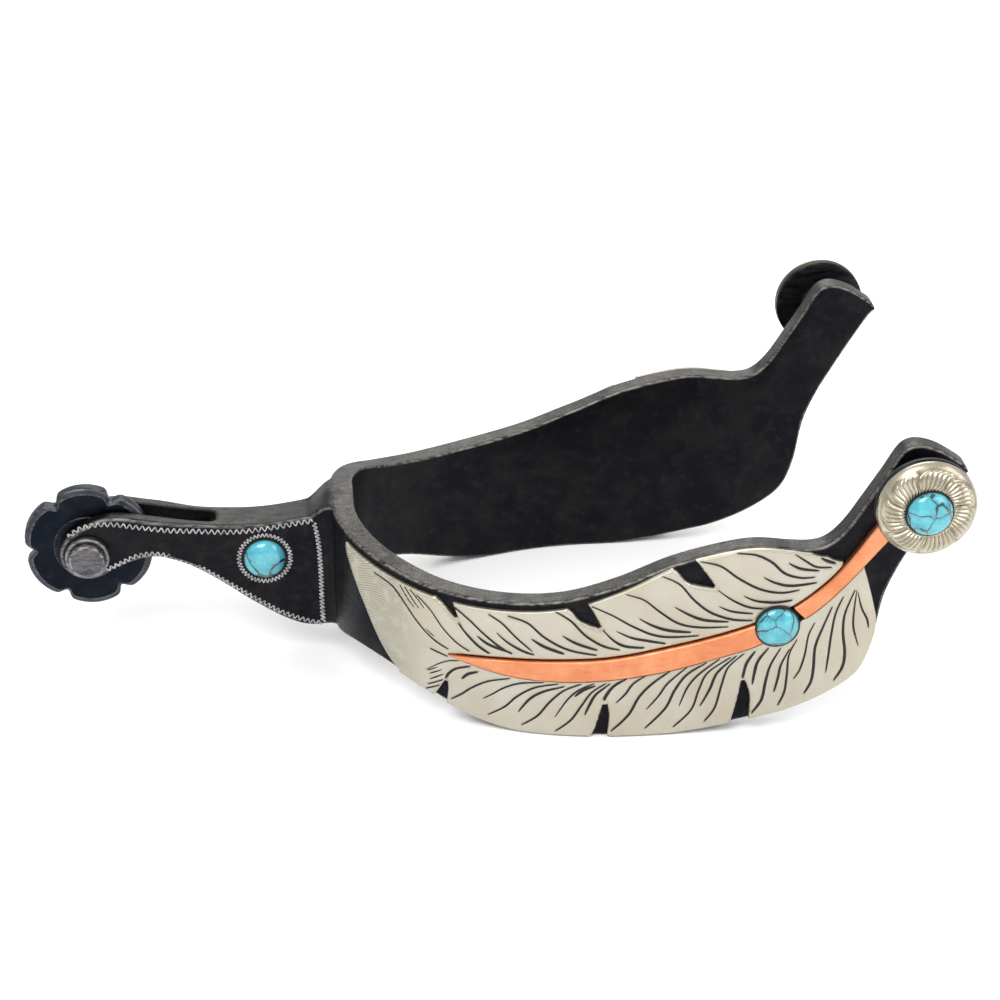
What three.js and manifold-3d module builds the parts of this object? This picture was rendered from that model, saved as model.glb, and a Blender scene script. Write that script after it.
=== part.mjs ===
// A western spur, worn on the heel of a riding boot.
//
// A strap of blued steel is bent to a U around the heel. A forked shank is welded to its back and
// carries a six-lobed rowel that spins on a riveted pin. Each arm of the U ends in a button, over
// which a spur strap is slipped. A feather of nickel silver with a copper quill is laid on the
// outside of each arm, and turquoise cabochons are set in the shank, the quill and the buttons.
//
// Millimetres. +X points from the heel towards the open end of the U, +Z up, and the near side of
// the spur is -Y. The origin is on the inner face of the band, at the back of the heel. The spur is
// the same on both sides of the XZ plane.

import * as THREE from 'three';
import { mergeVertices } from 'three/addons/utils/BufferGeometryUtils.js';
import Module from 'manifold-3d';

const wasm = await Module();
wasm.setup();

// ---------------------------------------------------------------- driving dimensions

const GAP = 0.3;                 // between pieces that are soldered, welded or glued together
const DEGREE = Math.PI / 180;

const INNER_WIDTH = 73;          // between the arms: a 2 7/8 inch heel
const BAND_THICKNESS = 4.4;
const SEAT_HALF = 4.5;           // half of the flat at the back of the heel
const HEEL_RADIUS = 18;          // inner radius of the tight bends beside that flat
const HEEL_TURN = 44 * DEGREE;   // angle that each tight bend turns through
const FOOT = -22;                // height of the edge that the spur stands on

const SHANK_THICKNESS = 10.4;    // across the fork
const NECK_THICKNESS = 8.4;      // between the fork and the band
const SHANK_FILLET = 6;          // between the shank's side and the band
const FORK_SLOT = 4.8;
const SLOT_END = -27;            // closed end of the fork's slot
const SLOT_CORNER = 1.2;

const PIN_X = -52.1;
const PIN_Z = 2.4;
const PIN_RADIUS = 2.4;
const PIN_HEAD_RADIUS = 3.5;
const PIN_HEAD_HEIGHT = 1.3;
const PIN_WASHER_RADIUS = 4.3;
const PIN_WASHER_THICKNESS = 1.1;
const FORK_END_RADIUS = 5.4;

const ROWEL_RADIUS = 12.7;       // a one inch rowel
const ROWEL_THICKNESS = 3.6;
const ROWEL_LOBES = 6;
const ROWEL_LOBE_RADIUS = 9;
const ROWEL_NOTCH_DEPTH = 1.1;
const ROWEL_CLEARANCE = 0.1;
const ROWEL_BEVEL = 0.5;

const SHEET_THICKNESS = 0.8;     // nickel silver of the feather
const QUILL_THICKNESS = 1.3;     // copper of the quill
const TOP_MARGIN = 1.4;          // steel left bare over the feather near the heel
const SIDE_MARGIN = 0.35;        // steel left bare round the rest of it

const STONE_RADIUS = 4;          // 8 mm cabochons
const SHANK_STONE = { x: -17.8, z: -0.3 };
const QUILL_STONE = { s: 95.6, z: 1 };

const BUTTON_X = 101.6;
const BUTTON_Z = 28.1;
const BUTTON_RADIUS = 9.3;
const STRAP_ROOM = 6.2;          // between the arm and the back of the button
const POST_RADIUS = 3.4;
const DISC_THICKNESS = 1.2;
const CONCHO_HEIGHT = 2.9;
const BUTTON_STONE_RADIUS = 4.2;

// ---------------------------------------------------------------- the bend of the band

// Seen from above, each half of the band is a flat, a tight arc, a wide arc and a straight arm.
const heelArcLength = HEEL_RADIUS * HEEL_TURN;
const heelEndX = HEEL_RADIUS * (1 - Math.cos(HEEL_TURN));
const heelEndY = SEAT_HALF + HEEL_RADIUS * Math.sin(HEEL_TURN);
const flankTurn = Math.PI / 2 - HEEL_TURN;
const FLANK_RADIUS = (INNER_WIDTH / 2 - heelEndY) / (1 - Math.sin(HEEL_TURN));
const flankCentreX = heelEndX + FLANK_RADIUS * Math.cos(HEEL_TURN);
const flankCentreY = heelEndY - FLANK_RADIUS * Math.sin(HEEL_TURN);
const armStart = SEAT_HALF + heelArcLength + FLANK_RADIUS * flankTurn;
const ARM_SHIFT = armStart - flankCentreX;   // how far s runs ahead of x along the arms

// A point of the bent band. s is the distance along the inner face from the back of the heel,
// positive on the far side; t stands out from that face, and z is the height.
function bentPoint(s, z, t) {
  const along = Math.abs(s);
  const side = Math.sign(s) || 1;
  let x = 0;
  let y = along;
  let turned = 0;
  if (along > armStart) {
    turned = Math.PI / 2;
    x = along - ARM_SHIFT;
    y = INNER_WIDTH / 2;
  } else if (along > SEAT_HALF + heelArcLength) {
    turned = HEEL_TURN + (along - SEAT_HALF - heelArcLength) / FLANK_RADIUS;
    x = flankCentreX - FLANK_RADIUS * Math.cos(turned);
    y = flankCentreY + FLANK_RADIUS * Math.sin(turned);
  } else if (along > SEAT_HALF) {
    turned = (along - SEAT_HALF) / HEEL_RADIUS;
    x = HEEL_RADIUS * (1 - Math.cos(turned));
    y = SEAT_HALF + HEEL_RADIUS * Math.sin(turned);
  }
  return [x - t * Math.cos(turned), side * (y + t * Math.sin(turned)), z];
}

// Places along the band where a flat sheet must be folded so that it follows the bend.
function foldPlaces() {
  const heelFolds = 4;
  const flankFolds = 8;
  const places = [];
  for (let i = 0; i <= heelFolds; i++) {
    places.push(SEAT_HALF + heelArcLength * i / heelFolds);
  }
  for (let i = 1; i <= flankFolds; i++) {
    places.push(SEAT_HALF + heelArcLength + FLANK_RADIUS * flankTurn * i / flankFolds);
  }
  return places;
}

// ---------------------------------------------------------------- outlines

function pointList(pairs) {
  return pairs.map(([x, y]) => new THREE.Vector2(x, y));
}

// Height of a smooth edge at any distance along it, from a few points that it passes through.
function edgeHeight(pairs) {
  const samples = new THREE.SplineCurve(pointList(pairs)).getPoints(pairs.length * 12);
  return (s) => {
    const next = samples.findIndex((p) => p.x > s);
    if (next < 0) return samples[samples.length - 1].y;
    if (next === 0) return samples[0].y;
    const a = samples[next - 1];
    const b = samples[next];
    return a.y + (b.y - a.y) * (s - a.x) / (b.x - a.x);
  };
}

const BAND_TOP = [
  [0, 12.4], [12, 10.4], [22, 7.5], [33, 5.5], [45, 5.3], [56, 6.7], [66, 10.0], [76, 14.1],
  [86, 16.6], [92, 17.2], [98, 16.5], [102, 16.3], [105, 17.2], [108, 20.2], [111.2, 25.2],
  [114.5, 30.6], [116.8, 34.6], [118.4, 36.1], [120.6, 36.5], [124, 35.5], [127.4, 33.4],
  [129, 32.2], [129.6, 31.3],
];
const BAND_BOTTOM = [
  [0, -15.6], [9, -13.9], [15, -12.8], [21, -13.6], [28, -15.7], [36, -18.8], [43, -21.0],
  [50, FOOT], [60, FOOT], [74, FOOT], [82, -21.2], [90, -19.7], [97, -18.2], [103, -15.9],
  [107.5, -13.4], [110.6, -11.0], [112.4, -8.6], [113.6, -5.6], [114.4, -2.6], [114.9, 0.4],
  [115.4, 3.6], [116.3, 7.2], [118.4, 12.2], [121, 17.0], [124.6, 23.2], [128.2, 29.0],
  [129.6, 30.6],
];
const BAND_END = 129.6;
const bandTop = edgeHeight(BAND_TOP);
const bandLow = edgeHeight(BAND_BOTTOM);
const bandBottom = (s) => Math.max(FOOT, bandLow(s));

// ---------------------------------------------------------------- solids

// A geometry from loose corners and triangles, turned the right way out.
function closedGeometry(position, index) {
  let volume = 0;
  for (let i = 0; i < index.length; i += 3) {
    const [a, b, c] = [0, 1, 2].map((k) => new THREE.Vector3().fromArray(position, 3 * index[i + k]));
    volume += a.dot(b.cross(c));
  }
  if (volume < 0) index.reverse();
  const geometry = new THREE.BufferGeometry();
  geometry.setAttribute('position', new THREE.Float32BufferAttribute(position, 3));
  geometry.setIndex(index);
  return geometry;
}

function merged(geometry) {
  const plain = geometry.clone();
  plain.deleteAttribute('normal');
  plain.deleteAttribute('uv');
  return mergeVertices(plain, 1e-4);
}

function toSolid(geometry) {
  const plain = merged(geometry);
  return new wasm.Manifold(new wasm.Mesh({
    numProp: 3,
    vertProperties: plain.attributes.position.array,
    triVerts: new Uint32Array(plain.index.array),
  }));
}

function fromSolid(solid) {
  const mesh = solid.getMesh();
  const geometry = new THREE.BufferGeometry();
  geometry.setAttribute('position', new THREE.BufferAttribute(mesh.vertProperties, 3));
  geometry.setIndex(new THREE.BufferAttribute(mesh.triVerts, 1));
  return geometry;
}

function plate(shape, depth, curveSegments = 4) {
  return new THREE.ExtrudeGeometry(shape, { depth, bevelEnabled: false, curveSegments });
}

// A strip of the band between two edges, given as heights along it.
function bentStrip(stations, low, high, inner, outer) {
  const position = [];
  for (const s of stations) {
    position.push(...bentPoint(s, low(s), inner), ...bentPoint(s, high(s), inner));
    position.push(...bentPoint(s, high(s), outer), ...bentPoint(s, low(s), outer));
  }
  const index = [0, 2, 1, 0, 3, 2];
  const last = 4 * (stations.length - 1);
  index.push(last, last + 1, last + 2, last, last + 2, last + 3);
  for (let i = 0; i < last; i += 4) {
    for (let k = 0; k < 4; k++) {
      const a = i + k;
      const b = i + (k + 1) % 4;
      index.push(a, b, b + 4, a, b + 4, a + 4);
    }
  }
  return closedGeometry(position, index);
}

// Cuts the triangles of a flat sheet along the line x = place, so that it can be folded there.
function cutAlong(triangles, place) {
  const cut = (a, b) => {
    const [p, q] = a[0] < b[0] ? [a, b] : [b, a];
    const u = (place - p[0]) / (q[0] - p[0]);
    return [place, p[1] + u * (q[1] - p[1]), p[2] + u * (q[2] - p[2])];
  };
  const result = [];
  for (const triangle of triangles) {
    const sides = triangle.map((p) => Math.sign(Math.abs(p[0] - place) < 1e-6 ? 0 : p[0] - place));
    if (!sides.includes(1) || !sides.includes(-1)) {
      result.push(triangle);
      continue;
    }
    for (const keep of [1, -1]) {
      const corners = [];
      for (let k = 0; k < 3; k++) {
        const next = (k + 1) % 3;
        if (sides[k] !== -keep) corners.push(triangle[k]);
        if (sides[k] * sides[next] < 0) corners.push(cut(triangle[k], triangle[next]));
      }
      for (let k = 2; k < corners.length; k++) {
        result.push([corners[0], corners[k - 1], corners[k]]);
      }
    }
  }
  return result;
}

// A flat sheet, drawn as distance along the band, height and thickness, folded round the band.
function foldedSheet(flat) {
  const plain = merged(flat);
  const place = plain.attributes.position;
  const corner = (i) => [place.getX(i), place.getY(i), place.getZ(i)];
  let triangles = [];
  for (let i = 0; i < plain.index.count; i += 3) {
    triangles.push([0, 1, 2].map((k) => corner(plain.index.getX(i + k))));
  }
  for (const fold of foldPlaces()) {
    triangles = cutAlong(cutAlong(triangles, fold), -fold);
  }
  const position = triangles.flat().flatMap(([s, z, t]) => bentPoint(s, z, t));
  const index = triangles.flatMap((_, i) => [3 * i, 3 * i + 1, 3 * i + 2]);
  return mergeVertices(closedGeometry(position, index), 1e-4);
}

// A round piece turned about its own axis, which is laid along Y and stands out on the given side.
function turned(profile, segments, side, x, z) {
  const geometry = new THREE.LatheGeometry(pointList(profile), segments);
  if (side < 0) geometry.rotateX(Math.PI);
  geometry.translate(x, 0, z);
  return geometry;
}

function drill(radius, from, to, side, x, z) {
  const profile = [[0, from], [radius, from], [radius, to], [0, to]];
  return toSolid(turned(profile, 24, side, x, z));
}

// Profile of a cabochon: a short straight girdle under a low dome.
function cabochon(radius, base, girdle, dome) {
  const steps = 4;
  const profile = [[0, base], [radius - 0.2, base], [radius, base + 0.2]];
  for (let i = 0; i <= steps; i++) {
    const a = Math.PI / 2 * i / steps;
    const r = i === steps ? 0 : radius * Math.cos(a);
    profile.push([r, base + girdle + dome * Math.sin(a)]);
  }
  return profile;
}

// ---------------------------------------------------------------- materials

const FINISHES = {
  bluedSteel: { color: 0x24262b, roughness: 0.45, metalness: 0.9 },
  rowelSteel: { color: 0x1b1f28, roughness: 0.4, metalness: 0.9 },
  bareSteel: { color: 0x6d6c6e, roughness: 0.5, metalness: 0.9 },
  nickelSilver: { color: 0xc6c0ab, roughness: 0.35, metalness: 1 },
  copper: { color: 0xe0905f, roughness: 0.35, metalness: 1 },
  turquoise: { color: 0x57b9c4, roughness: 0.25, metalness: 0 },
};

const spur = new THREE.Group();

function addPart(name, geometry, finish) {
  const mesh = new THREE.Mesh(geometry, new THREE.MeshStandardMaterial(FINISHES[finish]));
  mesh.name = name;
  spur.add(mesh);
}

// ---------------------------------------------------------------- heel band

function heelBand() {
  const closest = 0.7;
  const wanted = [...foldPlaces(), SEAT_HALF, BAND_END];
  for (const edge of [BAND_TOP, BAND_BOTTOM]) {
    const smooth = new THREE.SplineCurve(pointList(edge)).getPoints(edge.length * 2);
    wanted.push(...smooth.map((p) => p.x));
  }
  const kept = [SEAT_HALF, armStart, BAND_END];
  for (const s of wanted) {
    if (s > closest && kept.every((other) => Math.abs(other - s) > closest)) kept.push(s);
  }
  kept.sort((a, b) => a - b);
  const stations = [...kept.map((s) => -s).reverse(), 0, ...kept];
  const mirrored = (edge) => (s) => edge(Math.abs(s));
  return bentStrip(stations, mirrored(bandBottom), mirrored(bandTop), 0, BAND_THICKNESS);
}

// ---------------------------------------------------------------- shank

const shankSeat = NECK_THICKNESS / 2 - 1.9;   // bottom of each stone's seat, from the middle plane

// Side view: a neck that deepens towards the band, with a rounded end about the rowel pin.
function shankProfile() {
  const upper = [[-7, 9.2], [-12, 8.0], [-20, 7.2], [-30, 7.7], [-40, 9.4], [-46, 10.4], [-50.4, 9.7]];
  const lower = [[-46, -0.4], [-40, 1.3], [-35, 0.1], [-28, -4.1], [-20, -10.2], [-13, -14.6], [-8, -15.9]];
  const endFrom = 118 * DEGREE;
  const endTo = 300 * DEGREE;
  const shape = new THREE.Shape();
  shape.moveTo(0, -15.8);
  shape.lineTo(0, 12);
  const endStart = [PIN_X + FORK_END_RADIUS * Math.cos(endFrom), PIN_Z + FORK_END_RADIUS * Math.sin(endFrom)];
  shape.splineThru(pointList([[-3.5, 11.1], ...upper, endStart]));
  shape.absarc(PIN_X, PIN_Z, FORK_END_RADIUS, endFrom, endTo, false);
  shape.splineThru(pointList([...lower, [0, -15.8]]));
  return shape;
}

// Plan view: a fork that narrows to a neck, whose sides flare into the band through a fillet.
function shankPlan() {
  const fork = SHANK_THICKNESS / 2;
  const half = NECK_THICKNESS / 2;
  const narrowing = [[-38, fork], [-34, (fork + half) / 2], [-30, half]];
  const outer = HEEL_RADIUS + BAND_THICKNESS;
  const filletY = half + SHANK_FILLET;
  const filletX = HEEL_RADIUS - Math.sqrt((outer + SHANK_FILLET) ** 2 - (filletY - SEAT_HALF) ** 2);
  const filletEnd = Math.atan2(SEAT_HALF - filletY, HEEL_RADIUS - filletX);
  const shape = new THREE.Shape();
  shape.moveTo(PIN_X - 2 * FORK_END_RADIUS, -fork);
  narrowing.forEach(([x, y]) => shape.lineTo(x, -y));
  shape.lineTo(filletX, -half);
  shape.absarc(filletX, -filletY, SHANK_FILLET, Math.PI / 2, -filletEnd, true);
  shape.lineTo(0, -filletY + SHANK_FILLET * Math.sin(-filletEnd));
  shape.lineTo(0, filletY - SHANK_FILLET * Math.sin(-filletEnd));
  shape.absarc(filletX, filletY, SHANK_FILLET, filletEnd, -Math.PI / 2, true);
  narrowing.reverse().forEach(([x, y]) => shape.lineTo(x, y));
  shape.lineTo(PIN_X - 2 * FORK_END_RADIUS, fork);
  return shape;
}

function slotPlan() {
  const half = FORK_SLOT / 2;
  const start = PIN_X - 3 * FORK_END_RADIUS;
  const shape = new THREE.Shape();
  shape.moveTo(start, -half);
  shape.lineTo(SLOT_END - SLOT_CORNER, -half);
  shape.absarc(SLOT_END - SLOT_CORNER, SLOT_CORNER - half, SLOT_CORNER, -Math.PI / 2, 0, false);
  shape.absarc(SLOT_END - SLOT_CORNER, half - SLOT_CORNER, SLOT_CORNER, 0, Math.PI / 2, false);
  shape.lineTo(start, half);
  return shape;
}

function shank() {
  const reach = 40;
  const side = plate(shankProfile(), 2 * reach, 3);
  side.rotateX(Math.PI / 2);
  side.translate(0, reach, 0);
  const plan = plate(shankPlan(), 2 * reach, 5);
  plan.translate(0, 0, -reach);
  const slot = plate(slotPlan(), 2 * reach, 3);
  slot.translate(0, 0, -reach);
  const stations = foldPlaces().filter((s) => s < reach);
  const bandRoom = bentStrip(
    [...stations.map((s) => -s).reverse(), ...stations], () => -reach, () => reach, -5, BAND_THICKNESS + GAP,
  );
  let solid = toSolid(side).intersect(toSolid(plan)).subtract(toSolid(slot)).subtract(toSolid(bandRoom));
  solid = solid.subtract(drill(PIN_RADIUS + GAP, -reach, reach, 1, PIN_X, PIN_Z));
  for (const out of [-1, 1]) {
    const seat = drill(STONE_RADIUS + GAP, shankSeat, reach, out, SHANK_STONE.x, SHANK_STONE.z);
    solid = solid.subtract(seat);
  }
  return fromSolid(solid);
}

// ---------------------------------------------------------------- rowel and its pin

// Six broad lobes, with a small notch where two of them meet.
function rowelOutline() {
  const perLobe = 10;
  const lobeCentre = ROWEL_RADIUS - ROWEL_LOBE_RADIUS;
  const shape = new THREE.Shape();
  const points = [];
  for (let i = 0; i < ROWEL_LOBES * perLobe; i++) {
    const angle = 2 * Math.PI * i / (ROWEL_LOBES * perLobe);
    const half = Math.PI / ROWEL_LOBES;
    const fromLobe = (angle % (2 * half)) - half;
    const lobe = lobeCentre * Math.cos(fromLobe)
      + Math.sqrt(ROWEL_LOBE_RADIUS ** 2 - (lobeCentre * Math.sin(fromLobe)) ** 2);
    const notch = i % perLobe === 0 ? ROWEL_NOTCH_DEPTH : 0;
    const turn = angle + 34 * DEGREE - half;
    points.push(new THREE.Vector2((lobe - notch) * Math.cos(turn), (lobe - notch) * Math.sin(turn)));
  }
  shape.setFromPoints(points);
  const bore = new THREE.Path();
  bore.absarc(0, 0, PIN_RADIUS + ROWEL_CLEARANCE, 0, 2 * Math.PI, true);
  shape.holes.push(bore);
  return shape;
}

function rowel() {
  const geometry = new THREE.ExtrudeGeometry(rowelOutline(), {
    depth: ROWEL_THICKNESS - 2 * ROWEL_BEVEL,
    bevelThickness: ROWEL_BEVEL,
    bevelSize: ROWEL_BEVEL,
    bevelOffset: -ROWEL_BEVEL,
    bevelSegments: 1,
    curveSegments: 12,
  });
  geometry.translate(0, 0, ROWEL_BEVEL - ROWEL_THICKNESS / 2);
  geometry.rotateX(Math.PI / 2);
  geometry.translate(PIN_X, 0, PIN_Z);
  return geometry;
}

const washerFrom = SHANK_THICKNESS / 2 + GAP;
const washerTo = washerFrom + PIN_WASHER_THICKNESS;

function rowelPin() {
  const headFrom = washerTo + GAP;
  const headTo = headFrom + PIN_HEAD_HEIGHT;
  const chamfer = 0.5;
  const half = [
    [PIN_RADIUS, headFrom],
    [PIN_HEAD_RADIUS, headFrom],
    [PIN_HEAD_RADIUS, headTo - chamfer],
    [PIN_HEAD_RADIUS - chamfer, headTo],
    [0, headTo],
  ];
  const other = half.map(([r, y]) => [r, -y]).reverse();
  return turned([...other, ...half], 24, 1, PIN_X, PIN_Z);
}

function pinWasher(side) {
  const bore = PIN_RADIUS + GAP;
  const chamfer = 0.3;
  const profile = [
    [bore, washerFrom],
    [PIN_WASHER_RADIUS, washerFrom],
    [PIN_WASHER_RADIUS, washerTo - chamfer],
    [PIN_WASHER_RADIUS - chamfer, washerTo],
    [bore, washerTo],
    [bore, washerFrom],
  ];
  return turned(profile, 24, side, PIN_X, PIN_Z);
}

// ---------------------------------------------------------------- feather and quill

const QUILL_TOP = [
  [36, -7.1], [45, -6.0], [55, -5.2], [65, -4.3], [75, -2.6], [84, -0.7], [91.5, 1.6],
  [98.5, 4.7], [104.5, 8.9], [108.5, 14.2], [112.5, 20.0], [114.8, 23.2],
];
const QUILL_BOTTOM = [
  [36, -7.1], [40, -8.2], [46, -9.1], [52, -9.6], [60, -9.4], [70, -8.3], [77, -7.2], [85, -5.1],
  [92.4, -2.8], [100.6, 2.2], [105.5, 6.3], [110.5, 11.9], [115.1, 17.5], [117.6, 20.8],
];

// Points of a smooth curve from one distance along the band to another.
function stretch(pairs, from, to, count) {
  const height = edgeHeight(pairs);
  const points = [];
  for (let i = 0; i <= count; i++) {
    const s = from + (to - from) * i / count;
    points.push([s, height(s)]);
  }
  return points;
}

// The feather's upper edge follows the band, with a wider margin of bare steel near the heel.
function featherTop(s) {
  const wide = THREE.MathUtils.clamp((78 - s) / 20, 0, 1);
  return bandTop(s) - SIDE_MARGIN - wide * (TOP_MARGIN - SIDE_MARGIN);
}

function featherBottom(s) {
  return bandBottom(s) + SIDE_MARGIN;
}

function along(edge, from, to, step) {
  const count = Math.max(1, Math.round(Math.abs(to - from) / step));
  const points = [];
  for (let i = 0; i <= count; i++) {
    const s = from + (to - from) * i / count;
    points.push([s, edge(s)]);
  }
  return points;
}

function featherOutline() {
  const step = 6;
  const leftEdge = [[13.8, 9.0], [14.6, 5.0], [16.8, -0.1], [19.1, -5.0], [21.4, -9.2], [23.8, -12.3]];
  const rightEdge = [[112.2, -6.6], [113.2, -2.4], [113.6, 2.0], [113.2, 6.6], [112.0, 10.8]];
  const slotTop = stretch(QUILL_TOP, 107.4, 36, 16).map(([s, z]) => [s, z + GAP]);
  const slotBottom = stretch(QUILL_BOTTOM, 36, 110, 18).map(([s, z]) => [s, z - GAP]);
  return [
    ...leftEdge,
    ...along(featherBottom, 26.5, 33.3, step), [35.2, -13.0],
    ...along(featherBottom, 35.4, 61.5, step), [64.1, -14.2],
    ...along(featherBottom, 64.3, 87.9, step), [89.6, -10.7],
    ...along(featherBottom, 91, 110.4, step),
    ...rightEdge,
    ...slotBottom.reverse(),
    ...slotTop.reverse(),
    [104.6, 15.3],
    ...along(featherTop, 100.4, 80.8, step), [83.9, 9.3],
    ...along(featherTop, 78.7, 60, step), [63.4, 1.3],
    ...along(featherTop, 57.5, 36.8, step), [37.8, 0.2],
    ...along(featherTop, 34.6, 15.5, step),
  ];
}

function quillOutline(from, to) {
  const count = Math.max(4, Math.round((to - from) / 4));
  const ends = to > 114;
  const top = stretch(QUILL_TOP, from, ends ? 114.8 : to, count);
  const bottom = stretch(QUILL_BOTTOM, from, ends ? 117.6 : to, count);
  if (from === 36) bottom.shift();
  return [...bottom, ...top.reverse()];
}

// A sheet laid on the outside of the band, with the seat of the quill's stone drilled out.
function laidSheet(outline, side, thickness) {
  const shape = new THREE.Shape(pointList(outline.map(([s, z]) => [side * s, z])));
  const flat = plate(shape, thickness);
  flat.translate(0, 0, BAND_THICKNESS + GAP);
  const seat = new THREE.CylinderGeometry(STONE_RADIUS + GAP, STONE_RADIUS + GAP, 20, 24);
  seat.rotateX(Math.PI / 2);
  seat.translate(side * QUILL_STONE.s, QUILL_STONE.z, 0);
  return foldedSheet(fromSolid(toSolid(flat).subtract(toSolid(seat))));
}

function onArm(profile, segments, side, x, z) {
  const lifted = profile.map(([r, t]) => [r, t + INNER_WIDTH / 2]);
  return turned(lifted, segments, side, x, z);
}

// ---------------------------------------------------------------- buttons

const discFrom = BAND_THICKNESS + STRAP_ROOM;
const discTo = discFrom + DISC_THICKNESS;
const conchoFrom = discTo + GAP;
const conchoTo = conchoFrom + CONCHO_HEIGHT;
const conchoSeat = conchoTo - 1.2;

function buttonPost(side) {
  const collar = POST_RADIUS + 0.8;
  const from = BAND_THICKNESS + GAP;
  const to = discFrom - GAP;
  const profile = [[0, from], [collar, from], [POST_RADIUS, from + 0.8], [POST_RADIUS, to], [0, to]];
  return onArm(profile, 20, side, BUTTON_X, BUTTON_Z);
}

function buttonDisc(side) {
  const radius = BUTTON_RADIUS - 0.3;
  const chamfer = 0.5;
  const profile = [[0, discFrom], [radius - chamfer, discFrom], [radius, discFrom + chamfer], [radius, discTo], [0, discTo]];
  return onArm(profile, 32, side, BUTTON_X, BUTTON_Z);
}

function buttonConcho(side) {
  const steps = 6;
  const edge = 0.8;
  const seat = BUTTON_STONE_RADIUS + GAP;
  const profile = [[0, conchoFrom], [BUTTON_RADIUS - 0.3, conchoFrom]];
  for (let i = 0; i <= steps; i++) {
    const u = i / steps;
    const r = BUTTON_RADIUS - (BUTTON_RADIUS - seat) * u;
    const rise = Math.sqrt(1 - (1 - u) ** 2.4);
    profile.push([r, conchoFrom + edge + (CONCHO_HEIGHT - edge) * rise]);
  }
  profile.push([seat, conchoSeat], [0, conchoSeat]);
  return onArm(profile, 32, side, BUTTON_X, BUTTON_Z);
}

// ---------------------------------------------------------------- assembly

addPart('heel_band', heelBand(), 'bluedSteel');
addPart('shank', shank(), 'bluedSteel');
addPart('rowel', rowel(), 'rowelSteel');
addPart('rowel_pin', rowelPin(), 'bareSteel');

for (const [name, side] of [['near', -1], ['far', 1]]) {
  addPart(`pin_washer_${name}`, pinWasher(side), 'bareSteel');
  addPart(`feather_${name}`, laidSheet(featherOutline(), side, SHEET_THICKNESS), 'nickelSilver');
  addPart(`quill_blade_${name}`, laidSheet(quillOutline(36, QUILL_STONE.s), side, QUILL_THICKNESS), 'copper');
  addPart(`quill_stem_${name}`, laidSheet(quillOutline(QUILL_STONE.s, 118), side, QUILL_THICKNESS), 'copper');
  const quillStone = cabochon(STONE_RADIUS, BAND_THICKNESS + GAP, 1.1, 1.8);
  addPart(`quill_stone_${name}`, onArm(quillStone, 24, side, QUILL_STONE.s - ARM_SHIFT, QUILL_STONE.z), 'turquoise');
  const shankStone = cabochon(STONE_RADIUS, shankSeat + GAP, 1.9, 1.8);
  addPart(`shank_stone_${name}`, turned(shankStone, 24, side, SHANK_STONE.x, SHANK_STONE.z), 'turquoise');
  addPart(`button_post_${name}`, buttonPost(side), 'bluedSteel');
  addPart(`button_disc_${name}`, buttonDisc(side), 'bluedSteel');
  addPart(`button_concho_${name}`, buttonConcho(side), 'nickelSilver');
  const buttonStone = cabochon(BUTTON_STONE_RADIUS, conchoSeat + GAP, 0.9, 1.9);
  addPart(`button_stone_${name}`, onArm(buttonStone, 24, side, BUTTON_X, BUTTON_Z), 'turquoise');
}

export default spur;
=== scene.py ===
# %% [markdown]
# # A western spur
# A spur is worn on the heel of a riding boot. A strap of steel bent to a U hugs the heel, and a forked
# shank behind it holds a little wheel, the rowel, that spins on a riveted pin. This one is blued black
# and dressed with a nickel silver feather, a copper quill and turquoise stones on the outside.
# The working parts come from a model that is already made. This notebook builds the surfaces that the
# eye sees around them: each one is a formula evaluated on a grid of numbers, then handed to Blender.

# %% Load the working model
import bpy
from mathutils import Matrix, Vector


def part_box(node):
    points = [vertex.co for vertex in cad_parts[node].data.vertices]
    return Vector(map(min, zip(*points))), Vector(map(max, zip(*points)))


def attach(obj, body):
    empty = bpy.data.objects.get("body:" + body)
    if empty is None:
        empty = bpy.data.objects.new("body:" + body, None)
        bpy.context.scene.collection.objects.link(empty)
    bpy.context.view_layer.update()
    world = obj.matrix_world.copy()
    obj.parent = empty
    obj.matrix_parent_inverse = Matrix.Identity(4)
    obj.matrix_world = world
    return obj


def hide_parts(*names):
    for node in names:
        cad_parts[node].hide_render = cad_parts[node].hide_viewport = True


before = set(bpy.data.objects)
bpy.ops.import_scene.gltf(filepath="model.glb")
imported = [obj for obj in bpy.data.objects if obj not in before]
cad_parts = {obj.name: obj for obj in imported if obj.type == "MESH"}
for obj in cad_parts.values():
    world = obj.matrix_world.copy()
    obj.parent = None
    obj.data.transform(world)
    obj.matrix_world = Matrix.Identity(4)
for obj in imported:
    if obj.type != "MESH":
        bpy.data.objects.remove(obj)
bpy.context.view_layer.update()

import math

import bmesh
import bpy
import numpy as np
from mathutils import Vector

print("working model:", len(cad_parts), "pieces")

# %% [markdown]
# ## Sizes
# Every length below is in millimetres, and the metre that Blender wants comes in only when a mesh is
# made. +X points to the open end of the U and +Z up, and the origin is inside the heel. Where the
# working model can tell a size, it is asked, so that the two can't drift apart.

# %% Driving sizes
MM = 0.001


def box_mm(node):
    """Lowest and highest corner of a piece of the working model, in millimetres."""
    low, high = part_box(node)
    return np.array(low) / MM, np.array(high) / MM


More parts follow.
